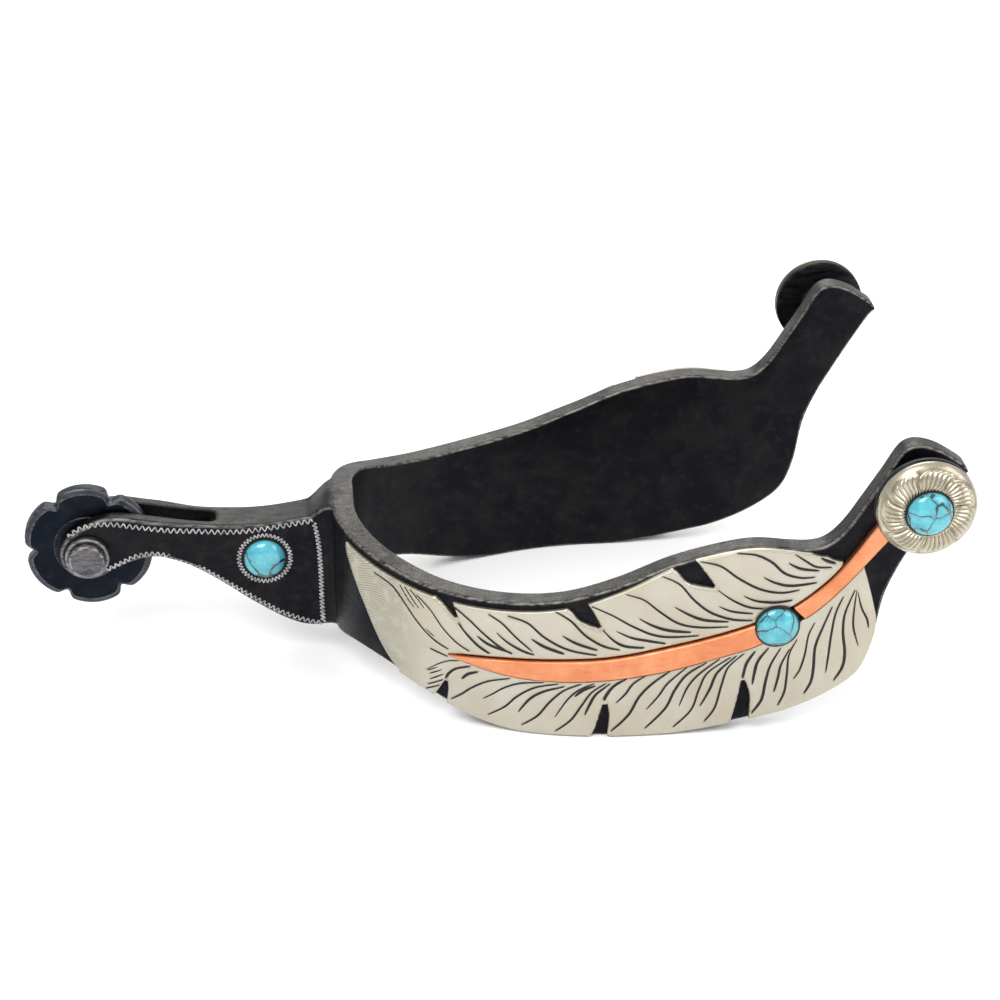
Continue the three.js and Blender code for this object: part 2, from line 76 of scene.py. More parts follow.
BAND_THICKNESS = 4.4
FLAT_HALF = 4.5                                 # half of the flat at the back of the heel
HEEL_RADIUS = 18.0                              # inside radius of the tight bend beside it
HEEL_TURN = math.radians(44)
ARM_INSIDE = box_mm("heel_band")[1][1] - BAND_THICKNESS
FLOOR_Z = box_mm("heel_band")[0][2]
PIN_X, PIN_Z = box_mm("rowel_pin")[0][[0, 2]] / 2 + box_mm("rowel_pin")[1][[0, 2]] / 2
SIDES = (("near", -1), ("far", 1))              # the near side is the one towards -Y
print(f"arms {2 * ARM_INSIDE:.1f} mm apart inside, pin at x {PIN_X:.1f} z {PIN_Z:.1f}")

# %% [markdown]
# ## From a grid of points to a solid
# Most pieces here are plates: a front sheet, a back sheet, and a wall round the rim and round every
# hole. One function can close all of them. It takes the two sheets as points on the same grid and a
# yes-or-no value for each cell, and works out for itself where the walls go: wherever a kept cell has
# no kept neighbour. Extra columns beside x, y, z travel along, and become attributes that materials read.
# The Solidify modifier thickens a sheet too, but its back repeats every dip of its front, and these
# pieces have bevels and engraving on one side only. A hole cut with a Boolean would leave long thin
# triangles, while leaving cells out of a grid keeps every face a neat quad.

# %% Shell between two sheets


def cell_corners(number):
    """The four point numbers round each cell of a grid of point numbers."""
    return np.stack([number[:-1, :-1], number[1:, :-1], number[1:, 1:], number[:-1, 1:]], -1)


def shell(upper, lower, keep=None, levels=(0.0, 1.0)):
    """Closed shell between two sheets of points on one grid. A side of a kept cell is on the border when
    no other kept cell runs along it the other way, and there a wall joins upper to lower in steps."""
    rows, cols, size = upper.shape
    number = np.arange(rows * cols).reshape(rows, cols)
    corners = cell_corners(number)
    top = corners.reshape(-1, 4) if keep is None else corners[keep]
    count = rows * cols
    sides = np.concatenate([np.stack([top[:, k], top[:, (k + 1) % 4]], 1) for k in range(4)])
    met = np.isin(sides[:, 0] * count + sides[:, 1], sides[:, 1] * count + sides[:, 0])
    border = sides[~met]
    rim = np.unique(border)
    above, below = upper.reshape(-1, size), lower.reshape(-1, size)
    between = [above[rim] * (1 - f) + below[rim] * f for f in levels[1:-1]]
    rings = [border]
    rings += [2 * count + k * len(rim) + np.searchsorted(rim, border) for k in range(len(between))]
    rings += [border + count]
    walls = [np.stack([a[:, 1], a[:, 0], b[:, 0], b[:, 1]], 1) for a, b in zip(rings[:-1], rings[1:])]
    points = np.concatenate([above, below, *between])
    faces = np.concatenate([top, top[:, ::-1] + count, *walls])
    used, index = np.unique(faces, return_inverse=True)
    return points[used], index.reshape(faces.shape)


def ring_faces(rows, cols, close_rows=False):
    """Quads of a grid whose columns close on themselves, and whose rows do too if asked."""
    number = np.arange(rows * cols).reshape(rows, cols)
    number = np.concatenate([number, number[:, :1]], 1)
    if close_rows:
        number = np.concatenate([number, number[:1]], 0)
    return cell_corners(number).reshape(-1, 4)


# %% [markdown]
# ## From a solid to a finished piece
# The mesh is welded where points fall together, such as at the pole of a dome, and turned right side
# out by the sign of its volume. Faces are shaded smooth, apart from real corners, which a subdivided
# mesh would need extra loops to hold. The printed line says how many edges are left open, and it should
# say 0 for every piece. A piece then rides on a body, so that the rowel can turn and the rest stay still.

# %% Make one piece
STEEL_BODY, ROWEL_BODY = "spur_frame", "rowel"
WELD_DISTANCE, SLIVER_LENGTH = 1e-7, 1e-8       # in metres


def make_piece(name, points, faces, finish, replaces=(), extras=(), body=STEEL_BODY, corner=38):
    """Add a Blender object from points in millimetres, whose columns after the third are named extras."""
    mesh = bpy.data.meshes.new(name)
    mesh.from_pydata((points[:, :3] * MM).tolist(), [], np.asarray(faces).tolist())
    for column, label in enumerate(extras, 3):
        layer = mesh.attributes.new(label, "FLOAT", "POINT")
        layer.data.foreach_set("value", np.ascontiguousarray(points[:, column], np.float32))
    solid = bmesh.new()
    solid.from_mesh(mesh)
    bmesh.ops.remove_doubles(solid, verts=solid.verts, dist=WELD_DISTANCE)
    bmesh.ops.dissolve_degenerate(solid, edges=solid.edges, dist=SLIVER_LENGTH)
    if solid.calc_volume(signed=True) < 0:
        bmesh.ops.reverse_faces(solid, faces=solid.faces)
    loose = sum(not edge.is_manifold for edge in solid.edges)
    solid.to_mesh(mesh)
    solid.free()
    mesh.shade_smooth()
    mesh.set_sharp_from_angle(angle=math.radians(corner))
    mesh.materials.append(finish)
    piece = bpy.data.objects.new(name, mesh)
    bpy.context.scene.collection.objects.link(piece)
    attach(piece, body)
    if replaces:
        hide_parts(*replaces)
    print(f"{name}: {len(mesh.polygons)} faces, {loose} open edges")


# %% [markdown]
# ## Curves through given points
# A smith draws an edge through a few points and lets the eye fair the rest. A Catmull-Rom curve does
# the same: it passes through every point given, and its direction at each is set by the two beside it.
# Blender's own Bezier curve bends through points as well, but has two handles at each to keep in order.

# %% Smooth curves


def smooth_curve(given, count):
    """Catmull-Rom curve through the given points. Between two of them it is the cubic that leaves each
    with half the difference of that point's neighbours."""
    p = np.asarray(given, float)
    u = np.linspace(0, len(p) - 1, count)
    k = np.minimum(u.astype(int), len(p) - 2)
    w = (u - k)[:, None]
    here, after = p[k], p[k + 1]
    leave = (after - p[np.maximum(k - 1, 0)]) / 2
    arrive = (p[np.minimum(k + 2, len(p) - 1)] - here) / 2
    cubic = 2 * here - 2 * after + leave + arrive
    square = -3 * here + 3 * after - 2 * leave - arrive
    return ((cubic * w + square) * w + leave) * w + here


def height_along(given):
    """The curve as a height at any distance: straight-line lookup in many points of the curve."""
    curve = smooth_curve(given, 40 * len(given))
    curve = curve[np.argsort(curve[:, 0])]
    return lambda s: np.interp(s, curve[:, 0], curve[:, 1])


def smoothstep(x, start=0.0, end=1.0):
    """0 before start, 1 after end, and an S between: 3w^2 - 2w^3 with w the share of the way."""
    w = np.clip((x - start) / (end - start), 0, 1)
    return w * w * (3 - 2 * w)


print("halfway up the S:", float(smoothstep(0.5)))

# %% [markdown]
# ## The bend of the band
# Seen from above, each half of the band is a short flat, a tight arc, a wide arc and a straight arm.
# Everything laid on the band is drawn flat first, as a distance s along it and a height z, and this
# function then bends it round the heel. The smith does the same with a real strip. A Curve modifier
# bends as well, but a formula can also be asked where one single point goes, such as a stone.

# %% Bend
heel_length = HEEL_RADIUS * HEEL_TURN
heel_end = (HEEL_RADIUS * (1 - math.cos(HEEL_TURN)), FLAT_HALF + HEEL_RADIUS * math.sin(HEEL_TURN))
FLANK_RADIUS = (ARM_INSIDE - heel_end[1]) / (1 - math.sin(HEEL_TURN))
flank_centre = (
    heel_end[0] + FLANK_RADIUS * math.cos(HEEL_TURN),
    heel_end[1] - FLANK_RADIUS * math.sin(HEEL_TURN),
)
arm_start = FLAT_HALF + heel_length + FLANK_RADIUS * (math.pi / 2 - HEEL_TURN)
ARM_SHIFT = arm_start - flank_centre[0]         # how far s runs ahead of x on the arms


def bend(s, z, t):
    """Point of the bent band: s runs along its inner face, negative on the near side, t stands out from
    that face, z is up. On an arc the point turns about the arc's centre by its length over the radius."""
    s, z, t = np.broadcast_arrays(*(np.asarray(a, float) for a in (s, z, t)))
    along, side = np.abs(s), np.where(s < 0, -1.0, 1.0)
    zones = [along > arm_start, along > FLAT_HALF + heel_length, along > FLAT_HALF]
    turn = np.select(zones, [
        np.full(along.shape, math.pi / 2),
        HEEL_TURN + (along - FLAT_HALF - heel_length) / FLANK_RADIUS,
        (along - FLAT_HALF) / HEEL_RADIUS,
    ], 0.0)
    x = np.select(zones, [
        along - ARM_SHIFT,
        flank_centre[0] - FLANK_RADIUS * np.cos(turn),
        HEEL_RADIUS * (1 - np.cos(turn)),
    ], 0.0)
    y = np.select(zones, [
        np.full(along.shape, ARM_INSIDE),
        flank_centre[1] + FLANK_RADIUS * np.sin(turn),
        FLAT_HALF + HEEL_RADIUS * np.sin(turn),
    ], along)
    return np.stack([x - t * np.cos(turn), side * (y + t * np.sin(turn)), z], -1)


print(f"the band is straight from s {arm_start:.1f}, where x is {arm_start - ARM_SHIFT:.1f}")

# %% [markdown]
# ## Finishes
# A finish is a small network of nodes. Each one starts from the same shader, and noise read in object
# coordinates varies its colour and roughness at the scale of the real thing, so that nothing is one
# flat tone. A value that is the same everywhere is set on the shader itself.

# %% Helpers for finishes


def tone(red, green, blue):
    """A colour given as the 0-255 numbers of a paint chart, made linear as the renderer needs."""
    share = np.array([red, green, blue]) / 255
    linear = np.where(share < 0.04045, share / 12.92, ((share + 0.055) / 1.055) ** 2.4)
    return (*linear.tolist(), 1.0)


def new_finish(name, **settings):
    """A material with its node tree and shader; each setting is a socket of the shader."""
    material = bpy.data.materials.new(name)
    material.use_nodes = True
    shader = material.node_tree.nodes["Principled BSDF"]
    for label, value in settings.items():
        shader.inputs[label.replace("_", " ")].default_value = value
    return material, material.node_tree, shader


def add(tree, kind, options=None, **inputs):
    """A node of that kind. An input given as a socket is linked, and a plain value is set."""
    made = tree.nodes.new("ShaderNode" + kind)
    for label, value in (options or {}).items():
        setattr(made, label, value)
    for label, value in inputs.items():
        socket = made.inputs[int(label[1:])] if label[0] == "_" else made.inputs[label]
        if isinstance(value, bpy.types.NodeSocket):
            tree.links.new(value, socket)
        else:
            socket.default_value = value
    return made


def place(tree, stretch=(1, 1, 1), shift=(0, 0, 0)):
    """Object coordinates, stretched and shifted."""
    here = add(tree, "TexCoord").outputs["Object"]
    return add(tree, "Mapping", Vector=here, Scale=stretch, Location=shift).outputs[0]


def noise(tree, size, where=None, detail=4.0, rough=0.55):
    """Cloudy noise whose patches are about size millimetres across."""
    where = where or place(tree)
    made = add(tree, "TexNoise", Vector=where, Scale=1 / (size * MM), Detail=detail, Roughness=rough)
    return made.outputs["Fac"]


def ramp(tree, value, start, end, low=0.0, high=1.0):
    """Map value from the range start..end to low..high, held at both ends."""
    return add(tree, "MapRange", _0=value, _1=start, _2=end, _3=low, _4=high).outputs[0]


def mix(tree, share, first, second):
    """First colour where share is 0, second where it is 1."""
    return add(tree, "Mix", {"data_type": "RGBA"}, _0=share, _6=first, _7=second).outputs[2]


def calc(tree, operation, first, second=0.0):
    """One step of arithmetic on two values; a function of one value leaves the second out."""
    return add(tree, "Math", {"operation": operation}, _0=first, _1=second).outputs[0]


def field(tree, label):
    """A number carried by the mesh itself."""
    return add(tree, "Attribute", {"attribute_name": label}).outputs["Fac"]


def bumps(tree, shader, height, depth, strength=1.0, before=None):
    """Tilt the surface by a height map that is depth millimetres deep."""
    made = add(tree, "Bump", Height=height, Distance=depth * MM, Strength=strength)
    if before:
        tree.links.new(before, made.inputs["Normal"])
    tree.links.new(made.outputs[0], shader.inputs["Normal"])
    return made.outputs[0]


print("mid grey of the chart is", round(tone(128, 128, 128)[0], 3), "in linear light")

# %% [markdown]
# ## Blued steel
# The smith heats the spur until it turns blue-black, then rubs the narrow edges bright on a belt. So
# one finish has two looks, and a number on the mesh called ground says which: 0 on the faces and 1 on
# the edges that were rubbed. A second number, wear_and_highlight, marks the corners, where blueing goes
# first. The lighter colour there is also a painted highlight, the bright line that light draws along a
# rounded corner. Two materials with a border between them would be simpler, but the change would be a
# hard line.

# %% Steel finishes


def steel_finish(name, black, brown, ground_dark, ground_light, worn_and_highlight, blot=4.0):
    """Blackened steel: patches of two blacks, rubbed grey where ground is 1, and lighter on the corners,
    where it is both bare steel and a painted highlight. The rubbed places keep blots of the darker grey,
    about blot millimetres across."""
    material, tree, shader = new_finish(name, Metallic=1.0)
    cloud = noise(tree, 9, detail=6)
    grain = noise(tree, 0.35, detail=3)
    streaks = noise(tree, 0.6, place(tree, (0.25, 1, 1)), detail=5)
    rust = ramp(tree, cloud, 0.4, 0.66)
    face = mix(tree, calc(tree, "MULTIPLY", rust, ramp(tree, grain, 0.3, 0.6, 0.5, 1.0)), black, brown)
    scuffs = ramp(tree, noise(tree, 2.2, detail=7, rough=0.7), 0.5, 0.68, 0, 0.45)
    face = mix(tree, scuffs, face, ground_dark)
    rubbed = mix(tree, ramp(tree, grain, 0.3, 0.7), ground_dark, ground_light)
    stained = mix(tree, ramp(tree, noise(tree, blot), 0.5, 0.66, 0, 0.7), rubbed, ground_dark)
    colour = mix(tree, field(tree, "ground"), face, stained)
    # Lighter corners: bare steel where the blueing wore off, and a painted highlight, the bright line of
    # light along each rounded corner.
    bare_and_highlight = calc(tree, "MULTIPLY", field(tree, "wear_and_highlight"), ramp(tree, streaks, 0.36, 0.6))
    colour = mix(tree, bare_and_highlight, colour, worn_and_highlight)
    tree.links.new(colour, shader.inputs["Base Color"])
    tree.links.new(ramp(tree, streaks, 0.3, 0.7, 0.34, 0.54), shader.inputs["Roughness"])
    soft = bumps(tree, shader, noise(tree, 2.5), 0.05, 0.5)
    bumps(tree, shader, grain, 0.02, 0.6, soft)
    return material


BLUED = steel_finish(
    "blued_steel", tone(25, 26, 31), tone(38, 36, 36), tone(48, 47, 46), tone(94, 91, 86),
    tone(128, 125, 120),
)
ROWEL_BLUED = steel_finish(
    "rowel_steel", tone(22, 26, 34), tone(29, 32, 38), tone(42, 45, 50), tone(74, 77, 82),
    tone(120, 122, 126),
)
PIN_STEEL = steel_finish(
    "pin_steel", tone(64, 63, 66), tone(50, 49, 51), tone(38, 37, 39), tone(124, 122, 125),
    tone(170, 166, 167), blot=1.5,
)
print("steels:", BLUED.name, ROWEL_BLUED.name, PIN_STEEL.name)

# %% [markdown]
# ## Nickel silver
# The feather is cut from nickel silver, a white brass with a warm cast. It is rubbed with fine paper, so
# it glows softly. Near the tip the engraver shaded it with hair-fine curved lines. They are too fine
# for the mesh, so the mesh only counts them: a number called fan grows by one from line to line, its
# sine draws them, and a number called tip says where they are. Buttons, quill and cut lines follow.

# %% Silver, copper and cut lines


def silver_finish():
    """Rubbed sheet: two warm greys in clouds, a fine grain, and the hatch near the tip."""
    material, tree, shader = new_finish("nickel_silver_feather", Metallic=1.0)
    cloud, grain = noise(tree, 11, detail=5), noise(tree, 0.22, detail=3)
    colour = mix(tree, ramp(tree, cloud, 0.35, 0.65), tone(192, 188, 176), tone(184, 177, 160))
    colour = mix(tree, ramp(tree, grain, 0.3, 0.8, 0, 0.35), colour, tone(168, 160, 142))
    wave = calc(tree, "SINE", calc(tree, "MULTIPLY", field(tree, "fan"), 2 * math.pi))
    broken = ramp(tree, noise(tree, 2.2), 0.36, 0.5)
    lines = calc(tree, "MULTIPLY", ramp(tree, wave, 0.1, 0.9), broken)
    hatch = calc(tree, "MULTIPLY", lines, field(tree, "tip"))
    green = ramp(tree, field(tree, "tip"), 0.0, 1.0, 0, 0.4)
    colour = mix(tree, green, colour, tone(164, 164, 148))
    colour = mix(tree, calc(tree, "MULTIPLY", hatch, 0.5), colour, tone(92, 88, 72))
    tree.links.new(colour, shader.inputs["Base Color"])
    tree.links.new(ramp(tree, grain, 0.2, 0.8, 0.34, 0.5), shader.inputs["Roughness"])
    soft = bumps(tree, shader, noise(tree, 3.5), 0.08, 0.6)
    fine = bumps(tree, shader, grain, 0.012, 0.6, soft)
    bumps(tree, shader, calc(tree, "SUBTRACT", 1.0, hatch), 0.03, 0.8, fine)
    return material


def concho_finish():
    """Cast nickel silver: polished on the high places, with brown left in the low ones, and the same
    dark brown over the back of the cap as painted shade.
    """
    material, tree, shader = new_finish("nickel_silver_button", Metallic=1.0)
    cloud, grain = noise(tree, 3, detail=5), noise(tree, 0.3)
    colour = mix(tree, ramp(tree, cloud, 0.35, 0.65), tone(196, 189, 171), tone(172, 164, 143))
    # low is brown patina in the grooves, and over the back of the cap it is painted shade.
    colour = mix(tree, calc(tree, "MULTIPLY", field(tree, "low"), 0.75), colour, tone(100, 89, 66))
    tree.links.new(colour, shader.inputs["Base Color"])
    tree.links.new(ramp(tree, grain, 0.2, 0.8, 0.2, 0.34), shader.inputs["Roughness"])
    bumps(tree, shader, grain, 0.015, 0.6)
    return material


def copper_finish():
    """Copper with draw marks along the quill and a few darker, redder streaks."""
    material, tree, shader = new_finish("copper_quill", Metallic=1.0)
    along = noise(tree, 0.5, place(tree, (0.12, 1, 1)), detail=5)
    cloud = noise(tree, 5, detail=5)
    colour = mix(tree, ramp(tree, cloud, 0.35, 0.65), tone(224, 152, 112), tone(210, 132, 92))
    colour = mix(tree, ramp(tree, along, 0.55, 0.75, 0, 0.35), colour, tone(190, 104, 70))
    tree.links.new(colour, shader.inputs["Base Color"])
    tree.links.new(ramp(tree, along, 0.3, 0.7, 0.3, 0.46), shader.inputs["Roughness"])
    soft = bumps(tree, shader, noise(tree, 2), 0.05, 0.5)
    bumps(tree, shader, along, 0.015, 0.6, soft)
    return material


def plain_finish(name, dark, light, metallic, rough, size=0.6):
    """A minor finish of two close tones, for the black in cut lines or the bright of a fresh cut."""
    material, tree, shader = new_finish(name, Metallic=metallic)
    cloud = noise(tree, size)
    tree.links.new(mix(tree, ramp(tree, cloud, 0.35, 0.65), dark, light), shader.inputs["Base Color"])
    tree.links.new(ramp(tree, cloud, 0.3, 0.7, rough - 0.08, rough + 0.08), shader.inputs["Roughness"])
    bumps(tree, shader, cloud, 0.01, 0.5)
    return material


SILVER, CONCHO_SILVER, COPPER = silver_finish(), concho_finish(), copper_finish()
OXIDE = plain_finish("black_oxide", tone(9, 9, 10), tone(20, 18, 17), 0.0, 0.7)
BRIGHT_CUT = plain_finish("bright_cut_steel", tone(126, 124, 124), tone(190, 187, 186), 1.0, 0.4, 0.9)

# %% [markdown]
# ## Turquoise
# Turquoise is sold with its matrix, the thin dark veins of the rock that it grew in. Voronoi noise cuts
# space into cells, and the distance to the nearest wall between cells is small on a vein and large in
# a cell, so a narrow ramp on that distance draws the veins. Bending space first keeps them from being
# straight. Each stone shifts the pattern, so no two are alike. A painted picture would need to be
# wrapped on each dome, and noise in space needs nothing.

# %% Turquoise


def turquoise(name, shift, cell, web):
    """Polished stone: cell is the size of its cells in millimetres, web the width of its veins."""
    material, tree, shader = new_finish(
        name, Metallic=0.0, Roughness=0.16, IOR=1.6, Coat_Weight=0.5, Coat_Roughness=0.05,
    )
    where = place(tree, shift=[v * MM for v in shift])
    wobble = add(tree, "TexNoise", Vector=where, Scale=1 / (2.4 * MM), Detail=3.0).outputs["Color"]
    half = (0.5, 0.5, 0.5)
    centred = add(tree, "VectorMath", {"operation": "SUBTRACT"}, _0=wobble, _1=half).outputs[0]
    push = add(tree, "VectorMath", {"operation": "SCALE"}, _0=centred, Scale=1.5 * MM).outputs[0]
    bent = add(tree, "VectorMath", {"operation": "ADD"}, _0=where, _1=push).outputs[0]
    cells = add(tree, "TexVoronoi", {"feature": "DISTANCE_TO_EDGE"}, Vector=bent, Scale=1 / (cell * MM))
    edge = cells.outputs["Distance"]
    thick = ramp(tree, noise(tree, 2, where), 0.35, 0.65, 0.3 * web, 1.2 * web)
    core = calc(tree, "MULTIPLY", thick, 0.4)
    vein = ramp(tree, edge, core, thick, 1.0, 0.0)
    cloud = noise(tree, 1.8, where, detail=6)
    colour = mix(tree, ramp(tree, cloud, 0.35, 0.68), tone(78, 176, 188), tone(58, 148, 164))
    specks = ramp(tree, noise(tree, 0.5, where), 0.62, 0.75, 0, 0.4)
    colour = mix(tree, specks, colour, tone(136, 206, 210))
    halo = ramp(tree, edge, 0.0, 0.16, 0.45, 0.0)
    colour = mix(tree, halo, colour, tone(44, 126, 140))
    colour = mix(tree, vein, colour, tone(24, 46, 52))
    tree.links.new(colour, shader.inputs["Base Color"])
    bumps(tree, shader, calc(tree, "SUBTRACT", 1.0, vein), 0.02, 0.5)
    return material


STONE_LOOKS = {
    "shank": turquoise("turquoise_shank", (31, 7, 12), cell=8.5, web=0.035),
    "quill": turquoise("turquoise_quill", (2, 5, -4), cell=4.6, web=0.045),
    "button": turquoise("turquoise_button", (8, 11, 3), cell=3.9, web=0.05),
}
print("finishes:", ", ".join(material.name for material in bpy.data.materials))

# %% [markdown]
# ## Heel band
# The real band is cut from a strip, bent, and its edges are rounded with a file. Here it is two sheets,
# the outer face and the inner one, whose rims roll over to meet. The roll is a quarter circle, measured
# square to the edge, so where the edge climbs it is stretched by the length of one step of the slope.
# Stations along the band are spaced by how far its two edges travel, which puts more where they climb.
# A Bevel modifier could round the edges of a plain strip, but it can't write the number ground on the
# rims, and the finish needs that.

# %% Band
BAND_TOP = [
    [0, 12.4], [12, 10.4], [22, 7.5], [33, 5.5], [45, 5.3], [56, 6.7], [66, 10.0], [76, 14.1],
    [86, 16.6], [92, 17.2], [98, 16.5], [102, 16.3], [105, 17.2], [108, 20.2], [111.2, 25.2],
    [114.5, 30.6], [116.8, 34.6], [118.4, 36.1], [120.6, 36.5], [124, 35.5], [127.4, 33.4],
    [129, 32.2], [129.6, 31.3],
]
BAND_BOTTOM = [
    [0, -15.6], [9, -13.9], [15, -12.8], [21, -13.6], [28, -15.7], [36, -18.8], [43, -21.0],
    [50, -22], [60, -22], [74, -22], [82, -21.2], [90, -19.7], [97, -18.2], [103, -15.9],
    [107.5, -13.4], [110.6, -11.0], [112.4, -8.6], [113.6, -5.6], [114.4, -2.6], [114.9, 0.4],
    [115.4, 3.6], [116.3, 7.2], [118.4, 12.2], [121, 17.0], [124.6, 23.2], [128.2, 29.0],
    [129.6, 30.6],
]
BAND_END = BAND_TOP[-1][0]
EDGE_ROUND = 0.6
top_line, low_line = height_along(BAND_TOP), height_along(BAND_BOTTOM)
INNER_ROWS = 7                                  # rows of the flat face, with both ends counted
HALF_STATIONS = 330
roll = np.radians([90, 60, 30, 0])
roll_in, roll_down = 1 - np.sin(roll), 1 - np.cos(roll)


def band_top(s):
    """Height of the upper edge, the same on both sides."""
    return top_line(np.abs(s))


def band_bottom(s):
    """Height of the lower edge, which never goes below the table."""
    return np.maximum(FLOOR_Z, low_line(np.abs(s)))


def even_stations(edges, start, end, count):
    """Distances from start to end at which the edges together have travelled equal lengths."""
    s = np.linspace(start, end, 20 * count)
    pace = np.sqrt(1 + sum(np.gradient(edge(s), s) ** 2 for edge in edges))
    travel = np.cumsum(pace)
    return np.interp(np.linspace(travel[0], travel[-1], count), travel, s)


def band_sheet(s, face, towards):
    """One face of the band, at t = face, whose top and bottom rims roll over towards the other face."""
    top, low = band_top(s)[:, None], band_bottom(s)[:, None]
    steep_top = np.sqrt(1 + np.gradient(top[:, 0], s)[:, None] ** 2)
    steep_low = np.sqrt(1 + np.gradient(low[:, 0], s)[:, None] ** 2)
    room = 0.42 * (top - low)
    low_rows = low + roll_in * np.minimum(EDGE_ROUND * steep_low, room)
    top_rows = top - roll_in[::-1] * np.minimum(EDGE_ROUND * steep_top, room)
    share = np.linspace(0, 1, INNER_ROWS)[1:-1]
    middle = low_rows[:, -1:] + (top_rows[:, :1] - low_rows[:, -1:]) * share
    z = np.concatenate([low_rows, middle, top_rows], 1)
    flat = np.zeros(len(share))
    t = face + towards * EDGE_ROUND * np.concatenate([roll_down, flat, roll_down[::-1]])
    ground = np.concatenate([np.sin(roll) ** 3, flat, np.sin(roll[::-1]) ** 3])
    # Peaks halfway round each rolled rim: worn steel there, and a painted highlight too.
    wear_and_highlight = np.concatenate([np.sin(2 * roll), flat, np.sin(2 * roll[::-1])])
    marks = np.stack(np.broadcast_arrays(ground, wear_and_highlight, z)[:2], -1)
    return np.concatenate([bend(s[:, None], z, t), marks], -1)


half = even_stations([band_top, band_bottom], 0, BAND_END, HALF_STATIONS)
stations = np.concatenate([-half[:0:-1], half])
band_points, band_faces = shell(
    band_sheet(stations, BAND_THICKNESS, -1), band_sheet(stations, 0, 1), levels=(0, 0.1, 0.9, 1),
)
# The second mark lightens corners, as worn steel and as a painted highlight.
STEEL_MARKS = ("ground", "wear_and_highlight")
make_piece("band", band_points, band_faces, BLUED, ["heel_band"], STEEL_MARKS)

# %% [markdown]
# ## Shank
# The shank is forged as one bar, split by a saw to make the fork, and welded to the band with its
# sides swept out to meet it. It is two sheets again: its top and its underside, seen from above as a
# grid of stations along it and rows across it. The slot is simply a block of cells that are left out.
# Where a rim rolls over, its points move in along the normal of the side view's outline, which also
# rounds the end about the pin, where top and underside meet. Joining a cut block to the band with
# Booleans would be quicker, but the edges on either side of the weld would have to be rounded by hand.

# %% Shank
SHANK_HALF, NECK_HALF = 5.2, 4.2                # half of its thickness across the fork and the neck
SHANK_END = 5.4                                 # radius of the fork's end about the pin
SHANK_FILLET = 6.0
SLOT_HALF, SLOT_END, SLOT_CORNER = 2.4, -27.0, 1.2
SHANK_ROUND, SLOT_ROUND = 0.85, 0.3
RUBBED = 0.5                                    # ground of the shank's top and underside
NARROWING = (-38, -30)                          # from the fork's width to the neck's
WELD_DEPTH = 0.62                               # how far the shank's end reaches into the band
UPPER_LINE = [
    (0, 12), (-3.5, 11.1), (-7, 9.2), (-12, 8), (-20, 7.2), (-30, 7.7), (-40, 9.4), (-46, 10.4),
    (-50.4, 9.7),
]
LOWER_LINE = [
    (-46, -0.4), (-40, 1.3), (-35, 0.1), (-28, -4.1), (-20, -10.2), (-13, -14.6), (-8, -15.9),
    (0, -15.8),
]


def pin_arc(first, last, count):
    """Points of the fork's round end between two angles in degrees."""
    turn = np.radians(np.linspace(first, last, count))
    return np.stack([PIN_X + SHANK_END * np.cos(turn), PIN_Z + SHANK_END * np.sin(turn)], 1)


def as_height(path):
    """The path as a height at any x."""
    order = np.argsort(path[:, 0])
    return lambda x: np.interp(x, path[order, 0], path[order, 1])


over = pin_arc(118, 180, 60)
under = pin_arc(180, 300, 90)
shank_top = as_height(np.concatenate([smooth_curve([*UPPER_LINE, over[0]], 400), over]))
shank_low = as_height(np.concatenate([under, smooth_curve([under[-1], *LOWER_LINE], 400)]))

outer_radius = HEEL_RADIUS + BAND_THICKNESS
fillet_y = NECK_HALF + SHANK_FILLET
fillet_x = HEEL_RADIUS - math.sqrt((outer_radius + SHANK_FILLET) ** 2 - (fillet_y - FLAT_HALF) ** 2)
touch = SHANK_FILLET / (outer_radius + SHANK_FILLET)
weld_x = fillet_x + touch * (HEEL_RADIUS - fillet_x)
weld_y = fillet_y - touch * (fillet_y - FLAT_HALF)


def shank_half(x):
    """Half width of the shank: the fork narrows to the neck, which follows the fillet's circle to where
    it meets the band."""
    reach = np.clip(x - fillet_x, 0, weld_x - fillet_x)
    fork = (SHANK_HALF - NECK_HALF) * (1 - smoothstep(x, *NARROWING))
    return fillet_y - np.sqrt(SHANK_FILLET**2 - reach**2) + fork


def weld_line(y):
    """x of the shank's end at each y: the outside of the band, less the depth of the weld."""
    past = np.maximum(np.abs(y) - FLAT_HALF, 0)
    return HEEL_RADIUS - np.sqrt((outer_radius - WELD_DEPTH) ** 2 - past**2)


def heel_distance(y):
    """Distance along the band of the place that the shank's end meets at y."""
    past = np.maximum(np.abs(y) - FLAT_HALF, 0)
    return np.abs(y) - past + HEEL_RADIUS * np.arcsin(past / outer_radius)


end_x = PIN_X - SHANK_END
curl = end_x + SHANK_END * (1 - np.cos(np.linspace(0, math.pi / 2, 26)))
shank_x = np.concatenate([curl[:-1], np.arange(PIN_X, weld_x, 0.4), [weld_x]])
shank_x[np.argmin(np.abs(shank_x - SLOT_END))] = SLOT_END
rolls = np.radians([0, 18, 36, 54, 72, 90])
out_rows = 1 - SHANK_ROUND * (1 - np.cos(rolls)) / SHANK_HALF
slot_rows = (SLOT_HALF + SLOT_ROUND * (1 - np.cos(rolls[::2]))) / SHANK_HALF
right = np.concatenate([[0, 0.2, 0.4], slot_rows, [0.66, 0.75], out_rows[::-1]])
across = np.concatenate([-right[:0:-1], right])
out_drop = np.interp(np.abs(across), out_rows[::-1], SHANK_ROUND * (1 - np.sin(rolls[::-1])))
slot_drop = np.interp(np.abs(across), slot_rows, SLOT_ROUND * (1 - np.sin(rolls[::2])), left=0)
slot_drop = np.where(np.abs(across) < slot_rows[0], SLOT_ROUND, slot_drop)


